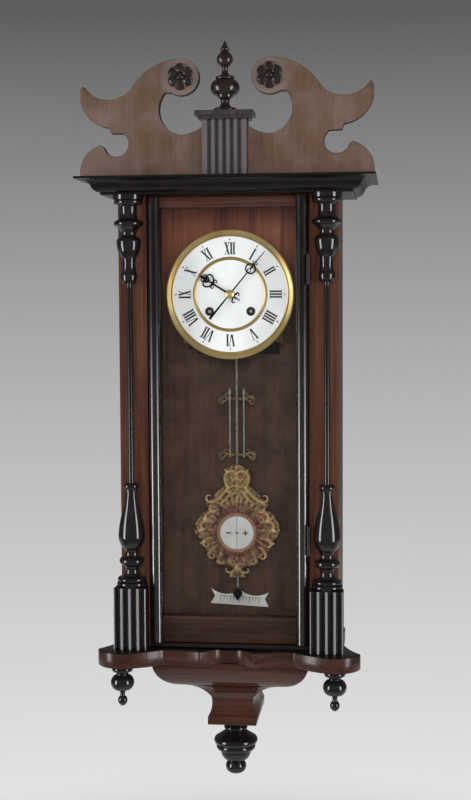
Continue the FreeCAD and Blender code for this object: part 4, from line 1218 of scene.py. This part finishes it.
@dataclass
class Pendulum:
    """The pendulum: rod, frame, pressed bob with its enamel roundel, and pointer."""

    rod_depth: float = 40.0
    bob_z: float = BOB_Z
    roundel_radius: float = 23.5
    roundel_depth: float = 47.6
    roundel_thick: float = 2.6
    side_rod_x: float = 9.9
    side_rod_radius: float = 1.2
    bars: Point = (-237.4, -316.4)
    relief: float = 45.4
    beads: int = 36
    voxel: float = 0.62
    pointer_edge: float = 0.5
    bob_sharp: float = 60.0

    def crossbars(self) -> Piece:
        """Models the frame's two crossbars: scrolls out from a collar, with a curl above and below.

        Returns:
            The crossbars.
        """
        depth = self.rod_depth
        half = []
        for z, reach in zip(self.bars, (0.0, 2.0)):
            half += scrolls(
                z, depth,
                (1.8, -0.6, 0, (3.4, 3.2), (60, 8, 1), (24 + reach, 18, 1), (6.0, -170, 0.8), (3.6, -200, 0.5)),
                (11 + reach, 0, -14, (2.8, 2.8), (9, -40, 1), (3.6, 260, 0.5)),
                (13 + reach, 1, 30, (2.6, 2.8), (7, 30, 1), (3.0, 230, 0.5)))
        collar = ((-3.6, 1.7), (-3.0, 2.6), (-1.2, 3.2), (1.2, 3.2), (3.0, 2.6), (3.6, 1.7))
        return join(mirrored(half) + [turned(0, depth, [(z + up, radius) for up, radius in collar])
                                      for z in self.bars])

    def side_rods(self) -> Piece:
        """Models the two side rods with their turned tips.

        Returns:
            The rods.
        """
        low, high = self.bars[1] - 4.5, self.bars[0]
        r = self.side_rod_radius
        rod = turned(self.side_rod_x, self.rod_depth, [
            (low, 0.5), (low + 0.8, 1.6), (low + 2.2, 1.8), (low + 3.2, r), (high - 3.2, r), (high - 2.6, 1.9),
            (high + 2.2, 1.9), (high + 2.8, 1.2), (high + 5.2, 1.1), (high + 6.2, 2.0), (high + 8.4, 2.5),
            (high + 10.6, 1.9), (high + 13.0, 1.0), (high + 15.4, 0.3)])
        return join(mirrored([rod]))

    def leaf(self) -> Piece:
        """Models one lobe of foliage at the origin, a unit long, pointed at its foot and veined.

        Returns:
            The lobe.
        """
        made = ball(0, 0, 0, (1, 1, 1))
        edit(made, Part.VERT, lambda vertex: vertex.co.z < -0.08 * MM)
        bpy.ops.transform.resize(value=(0.5, 0.8, 1), center_override=(0, 0, 0))
        edit(made, Part.VERT, lambda vertex: abs(vertex.co.x) < 0.03 * MM and vertex.co.y < 0)
        bpy.ops.transform.translate(value=(0, 0.12 * MM, 0))
        clear()
        return made

    def foliage(self) -> list[Piece]:
        """Models the bob's scrolls and leaves.

        Returns:
            All of them, on both sides, in the bob's own place.
        """
        z, depth = self.bob_z, self.relief
        wide, slim = (4.6, 5.0), (3.6, 4.4)
        half = scrolls(
            z, depth,
            # Crest: two scrolls back to back.
            (11, 62, 50, wide, (26, 40, 1), (10.2, 150, 0.8), (7.2, 230, 0.35)),
            (2, 66, 35, slim, (9, -100, 0.6)),
            # Shoulder: a long arm out to the wing curl, and an inner arm beside it.
            (11, 66, -48, wide, (70, -8, 1), (40, 36, 1), (7.2, 260, 0.35)),
            (8, 60, -70, slim, (34, 34, 1), (6.0, -220, 0.4)),
            # Side foliage, from the wing down to the tail.
            (30, 30, 12, wide, (15, -58, 1), (6.4, -250, 0.35)),
            (33, 14, 30, wide, (17, -60, 1), (7.4, -240, 0.35)),
            (33, -8, 12, wide, (17, -50, 1), (6.8, -250, 0.35)),
            (29, -20, -12, wide, (16, -60, 1), (6.2, -240, 0.35)),
            (20, -30, -30, wide, (14, -50, 1), (5.6, -240, 0.35)),
            # Tail: an inner scroll and the fork.
            (5, -34, -35, slim, (13, -40, 1), (4.4, -230, 0.4)),
            (1.6, -44, -86, wide, (26, 22, 1), (10, 70, 0.7), (3.6, 160, 0.5)))
        lobe = self.leaf()
        # Place, length, width and turn of each lobe at the right, then those in the middle.
        sprays = (
            (37, 31, 11, 5.5, 40), (46, 19, 11, 5.5, 62), (52, 3, 11, 5.5, 92), (48, -14, 11, 5.5, 112),
            (39, -29, 10, 5.0, 128), (27, -40, 9, 4.6, 145), (33, 22, 12, 5.0, 56), (36, 4, 12, 5.0, 88),
            (33, -14, 12, 5.0, 114), (23, -28, 11, 4.6, 140), (12, -38, 10, 4.4, 160), (5.5, 43, 17, 5.0, 12),
            (12.5, 42, 15, 5.0, 30), (20, 38, 14, 5.0, 48), (13, 58, 9, 4.0, 35), (6, 74, 8, 3.6, 10),
            (15, 88, 7, 3.4, 40), (8, -60, 8, 4.2, 150))
        for x, up, length, width, lean in sprays:
            place = shift(x, depth + 0.3, z + up) @ turn(lean) @ Matrix.Diagonal((width, 5.4, length, 1))
            half.append(copy(lobe, place))
        parts = mirrored(half)
        for up, length, width in ((44, 18, 5.2), (66, 12, 5), (82, 9, 5), (92, 8, 5.5), (-38, 12, 5), (-52, 12, 5)):
            parts.append(copy(lobe, shift(0, depth + 0.5, z + up) @ Matrix.Diagonal((width, 5.6, length, 1))))
        drop(lobe)
        return parts

    def bob(self) -> Piece:
        """Models the pressed bob: its plate, foliage, rim and beads, pressed into one skin.

        Returns:
            The bob.
        """
        z, radius = self.bob_z, self.roundel_radius
        plate = lift("bob")
        face = -(self.rod_depth + 6.0) * MM
        edit(plate, Part.VERT, lambda vertex: abs(vertex.co.y - face) < 0.05 * MM)
        bpy.ops.transform.translate(value=(0, 1.4 * MM, 0))
        rim = ring(0, 46.6, z, radius + 2.0, 4.0, 4.0)
        bead = ball(0, 46.4, z + radius + 6.0, (2.8, 3.4, 2.8))
        made = join([plate, *self.foliage(), rim, *around(bead, shift(0, 0, z), self.beads)])
        modify(made, "REMESH", mode="VOXEL", voxel_size=self.voxel * MM)
        modify(made, "SMOOTH", factor=0.5, iterations=2)
        # Small lobes pressed into the front, outside the roundel's rim.
        field = made.vertex_groups.new(name="pressed_field")
        field.add([vertex.index for vertex in made.data.vertices if vertex.normal.y < -0.25
                   and math.hypot(vertex.co.x, vertex.co.z - z * MM) > (radius + 3.0) * MM], 1.0, "REPLACE")
        lobes = bpy.data.textures.new("pressed_lobes", "VORONOI")
        lobes.noise_scale = 4.6 * MM
        modify(made, "DISPLACE", texture=lobes, texture_coords="LOCAL", direction="Y", strength=2.0 * MM,
               mid_level=0.55, vertex_group=field.name)
        modify(made, "SMOOTH", factor=0.5, iterations=1)
        return made

    def roundel(self) -> Piece:
        """Models the domed enamel roundel.

        Returns:
            The roundel.
        """
        thick = self.roundel_thick
        made = start(bpy.ops.mesh.primitive_cylinder_add, at(0, self.roundel_depth - 0.7 - thick / 2, self.bob_z),
                     vertices=96, radius=self.roundel_radius * MM, depth=thick * MM, rotation=FACING)
        edit(made, Part.FACE, lambda face: face.normal.y < -0.9)
        for inset, rise in ((1.0, 0.3), (3.0, 0.25), (6.0, 0.12), (7.0, 0.03)):
            bpy.ops.mesh.inset(thickness=inset * MM)
            bpy.ops.transform.translate(value=(0, -rise * MM, 0))
        clear()
        return made

    def marks(self) -> Piece:
        """Models the roundel's print: a line, a star, a minus and a plus.

        Returns:
            The marks.
        """
        # Place across, place into the enamel, place up, and size of each stroke.
        strokes = (
            (0, 0.25, 13, (0.5, 0.7, 19)), (0, 0.25, -13, (0.5, 0.7, 19)),
            (0, 0, 0, (1.2, 0.3, 4.6)), (0, 0, 0, (4.6, 0.3, 1.2)),
            (-12, 0.1, 0, (7.0, 0.5, 1.7)), (12, 0.1, 0, (7.0, 0.5, 1.7)), (12, 0.1, 0, (1.7, 0.5, 7.0)))
        return join([bar(x, self.roundel_depth - sunk, self.bob_z + up, size) for x, sunk, up, size in strokes])

    def build(self) -> None:
        """Builds the frame, bob, roundel and pointer, and dresses the rod."""
        body = "pendulum"
        settle(self.crossbars(), "pendulum_scroll_frame", FRAME_BRASS, body, ["pendulum_frame"])
        settle(self.side_rods(), "pendulum_side_rods", ROD_STEEL, body)
        settle(self.bob(), "pendulum_pressed_bob", BOB_BRASS, body, ["bob"], self.bob_sharp)
        settle(self.roundel(), "pendulum_roundel", SCALE_ENAMEL, body, ["bob_roundel"])
        settle(self.marks(), "pendulum_roundel_marks", INK, body)
        settle(ease("pendulum_pointer", self.pointer_edge), "pendulum_heart_pointer", BLUED_STEEL,
               body, ["pendulum_pointer"])
        dress(ROD_STEEL, "pendulum_rod", "suspension_spring")


@dataclass
class BeatScale:
    """The beat scale: a white swallow tailed plate with printed ticks."""

    middle_z: float = -526.0
    face_depth: float = 13.5
    edge: float = 0.35
    tilt: float = 3.0
    step: float = 4.6
    line_up: float = 1.2
    line_size: Triple = (64.0, 0.12, 0.5)
    tick_width: float = 0.75
    short: float = 5.0
    long: float = 8.2

    def build(self) -> None:
        """Builds the plate and its ticks, which hang from a line."""
        settle(ease("beat_scale", self.edge), "beat_scale_plate", SCALE_ENAMEL, "case", ["beat_scale"])
        parts = [bar(0, self.face_depth, self.line_up, self.line_size)]
        for number in range(-6, 7):
            tall = self.short if number % 3 else self.long
            parts.append(bar(number * self.step, self.face_depth, self.line_up - tall / 2,
                             (self.tick_width, self.line_size[1], tall)))
        ticks = apply(join(parts), shift(0, 0, self.middle_z) @ turn(self.tilt))
        settle(ticks, "beat_scale_ticks", INK, "case")


@dataclass
class Movement:
    """The movement behind the dial, its bracket, gong and hammer."""

    brass: tuple[str, ...] = (
        "front_plate", "back_plate", "plate_pillars", "suspension_cock", "bracket_thumb_screws", "centre_wheel",
        "going_second_wheel", "going_barrel", "third_wheel", "escape_wheel", "strike_barrel", "strike_pin_wheel",
        "strike_fly")
    steel: tuple[str, ...] = ("going_winding_arbor", "strike_winding_arbor", "pallet_anchor", "hammer")
    blued: tuple[str, ...] = ("gong_coil",)
    iron: tuple[str, ...] = ("movement_bracket", "gong_stand")

    def build(self) -> None:
        """Dresses the movement, whose shapes are right as they are."""
        dress(MOVEMENT_BRASS, *self.brass)
        dress(ROD_STEEL, *self.steel)
        dress(BLUED_STEEL, *self.blued)
        dress(BLACK_IRON, *self.iron)


@dataclass
class Studio:
    """The studio: pale floor, three softboxes, grey backdrop and the camera."""

    floor_z: float = -1150.0
    floor_radius: float = 1900.0
    floor_fade: Point = (0.2, 0.6)
    lamp_aim: Triple = (0.0, 100.0, -260.0)
    sweep_angles: Point = (-19.5, 11.0)
    lens: float = 64.8
    yaw: float = 6.59
    pitch: float = 3.97
    roll: float = -0.31
    distance: float = 1922.0
    target: Triple = (9.8, 140.0, -232.8)
    ambient: float = 0.2
    room: float = 0.12
    wall: float = 0.26

    def floor(self) -> None:
        """Lays the floor, which fades out away from the clock."""
        made = start(bpy.ops.mesh.primitive_circle_add, at(0, 0, self.floor_z), vertices=96,
                     radius=self.floor_radius * MM, fill_type="NGON")
        made.name = "studio_floor"
        paint = bpy.data.materials.new("studio_floor_paint")
        paint.use_nodes = True
        graph = Graph(paint.node_tree, "Principled BSDF")
        flat = graph.add("VectorMath", {0: graph.place, 1: (1, 1, 0)}, operation="MULTIPLY")
        reach = graph.add("VectorMath", {0: flat}, operation="LENGTH")
        near, far = (share * self.floor_radius * MM for share in self.floor_fade)
        fade = graph.add("MapRange", {0: reach, 1: near, 2: far, 3: 1, 4: 0}, interpolation_type="SMOOTHSTEP")
        graph.feed({"Base Color": "#f6f6f6", "Roughness": 0.9, "Alpha": fade})
        made.data.materials.append(paint)

    def lamp(self, name: str, place: Triple, size: Point, power: float, glints: bool = True) -> None:
        """Hangs a softbox that faces the clock.

        Args:
            name: The lamp's name.
            place: Its x, depth and z.
            size: Its width and height.
            power: Its power in watts.
            glints: Whether polished surfaces show it.
        """
        clear()
        bpy.ops.object.light_add(type="AREA", location=at(*place))
        made = bpy.context.object
        made.name = name
        made.data.shape = "RECTANGLE"
        made.data.size, made.data.size_y = (side * MM for side in size)
        made.data.energy = power
        made.visible_glossy = glints
        aim = at(*self.lamp_aim) - at(*place)
        made.rotation_euler = aim.to_track_quat("-Z", "Y").to_euler()

    def backdrop(self) -> None:
        """Sets the grey backdrop, dark above and pale below, and the plain light that fills the room."""
        world = bpy.data.worlds.new("studio_backdrop")
        bpy.context.scene.world = world
        world.use_nodes = True
        graph = Graph(world.node_tree, "Background", "Generated")
        _, inwards, up = graph.add("SeparateXYZ").outputs
        low, high = (math.sin(math.radians(angle)) for angle in self.sweep_angles)
        rise = graph.add("MapRange", {0: up, 1: low, 2: high})
        sweep = graph.add("ValToRGB", {0: rise}, [(0.0, "#e4e4e4"), (0.5, "#b4b4b4"), (1.0, "#5e5e5e")])
        # A mirror sees the pale sweep behind and below, a wall behind the camera and a dim room elsewhere.
        behind = graph.add("MapRange", {0: inwards, 1: -0.3, 2: 0.2})
        below = graph.add("MapRange", {0: up, 1: -0.12, 2: -0.4})
        lit = graph.add("Math", {0: behind, 1: below}, operation="MULTIPLY")
        ahead = graph.add("MapRange", {0: inwards, 1: -0.35, 2: -0.9, 3: self.room, 4: self.wall})
        dim = graph.add("Mix", {0: lit, 6: ahead, 7: sweep}, data_type="RGBA")
        mirror = graph.add("Background", {"Color": dim, "Strength": 1})
        shown = graph.add("Background", {"Color": sweep, "Strength": 1})
        graph.feed({"Color": WHITE, "Strength": self.ambient})
        path = graph.add("LightPath").outputs
        seen = graph.add("Math", {0: path["Is Camera Ray"], 1: path["Is Transmission Ray"]}, operation="MAXIMUM")
        gloss = graph.add("MixShader", {0: path["Is Glossy Ray"], 1: graph.shader, 2: mirror})
        both = graph.add("MixShader", {0: seen, 1: gloss, 2: shown})
        graph.feed({"Surface": both}, graph.tree.nodes["World Output"])

    def camera(self) -> None:
        """Sets the camera where the photograph was taken from."""
        yaw, tilt, roll = (
            Matrix.Rotation(math.radians(angle), 4, axis)
            for angle, axis in ((self.yaw, "Z"), (90 - self.pitch, "X"), (self.roll, "Z")))
        clear()
        bpy.ops.object.camera_add()
        made = bpy.context.object
        made.name = "photograph_view"
        made.data.lens = self.lens
        made.data.sensor_width = 36.0
        made.data.clip_start = 0.05
        made.matrix_world = shift(*self.target) @ yaw @ tilt @ roll @ shift(0, 0, self.distance)
        bpy.context.scene.camera = made

    def build(self) -> None:
        """Sets up the studio."""
        self.floor()
        self.lamp("softbox_front", (250, 2450, 120), (1100, 800), 34, glints=False)
        self.lamp("softbox_left", (-1900, 1250, -345), (620, 1590), 36)
        self.lamp("softbox_right", (1900, 1200, -345), (620, 1590), 32)
        self.backdrop()
        self.camera()
        bpy.context.scene.view_settings.view_transform = "Standard"


def main() -> None:
    """Builds the clock's sub-assemblies in order, then the studio, and logs each one's name."""
    logging.basicConfig(level=logging.INFO, format="%(message)s")
    for assembly in (Crest(), Case(), Door(), Dial(), Hands(), Pendulum(), BeatScale(), Movement(), Studio()):
        LOG.info("%s", type(assembly).__name__)
        assembly.build()


if __name__ == "__main__":
    main()
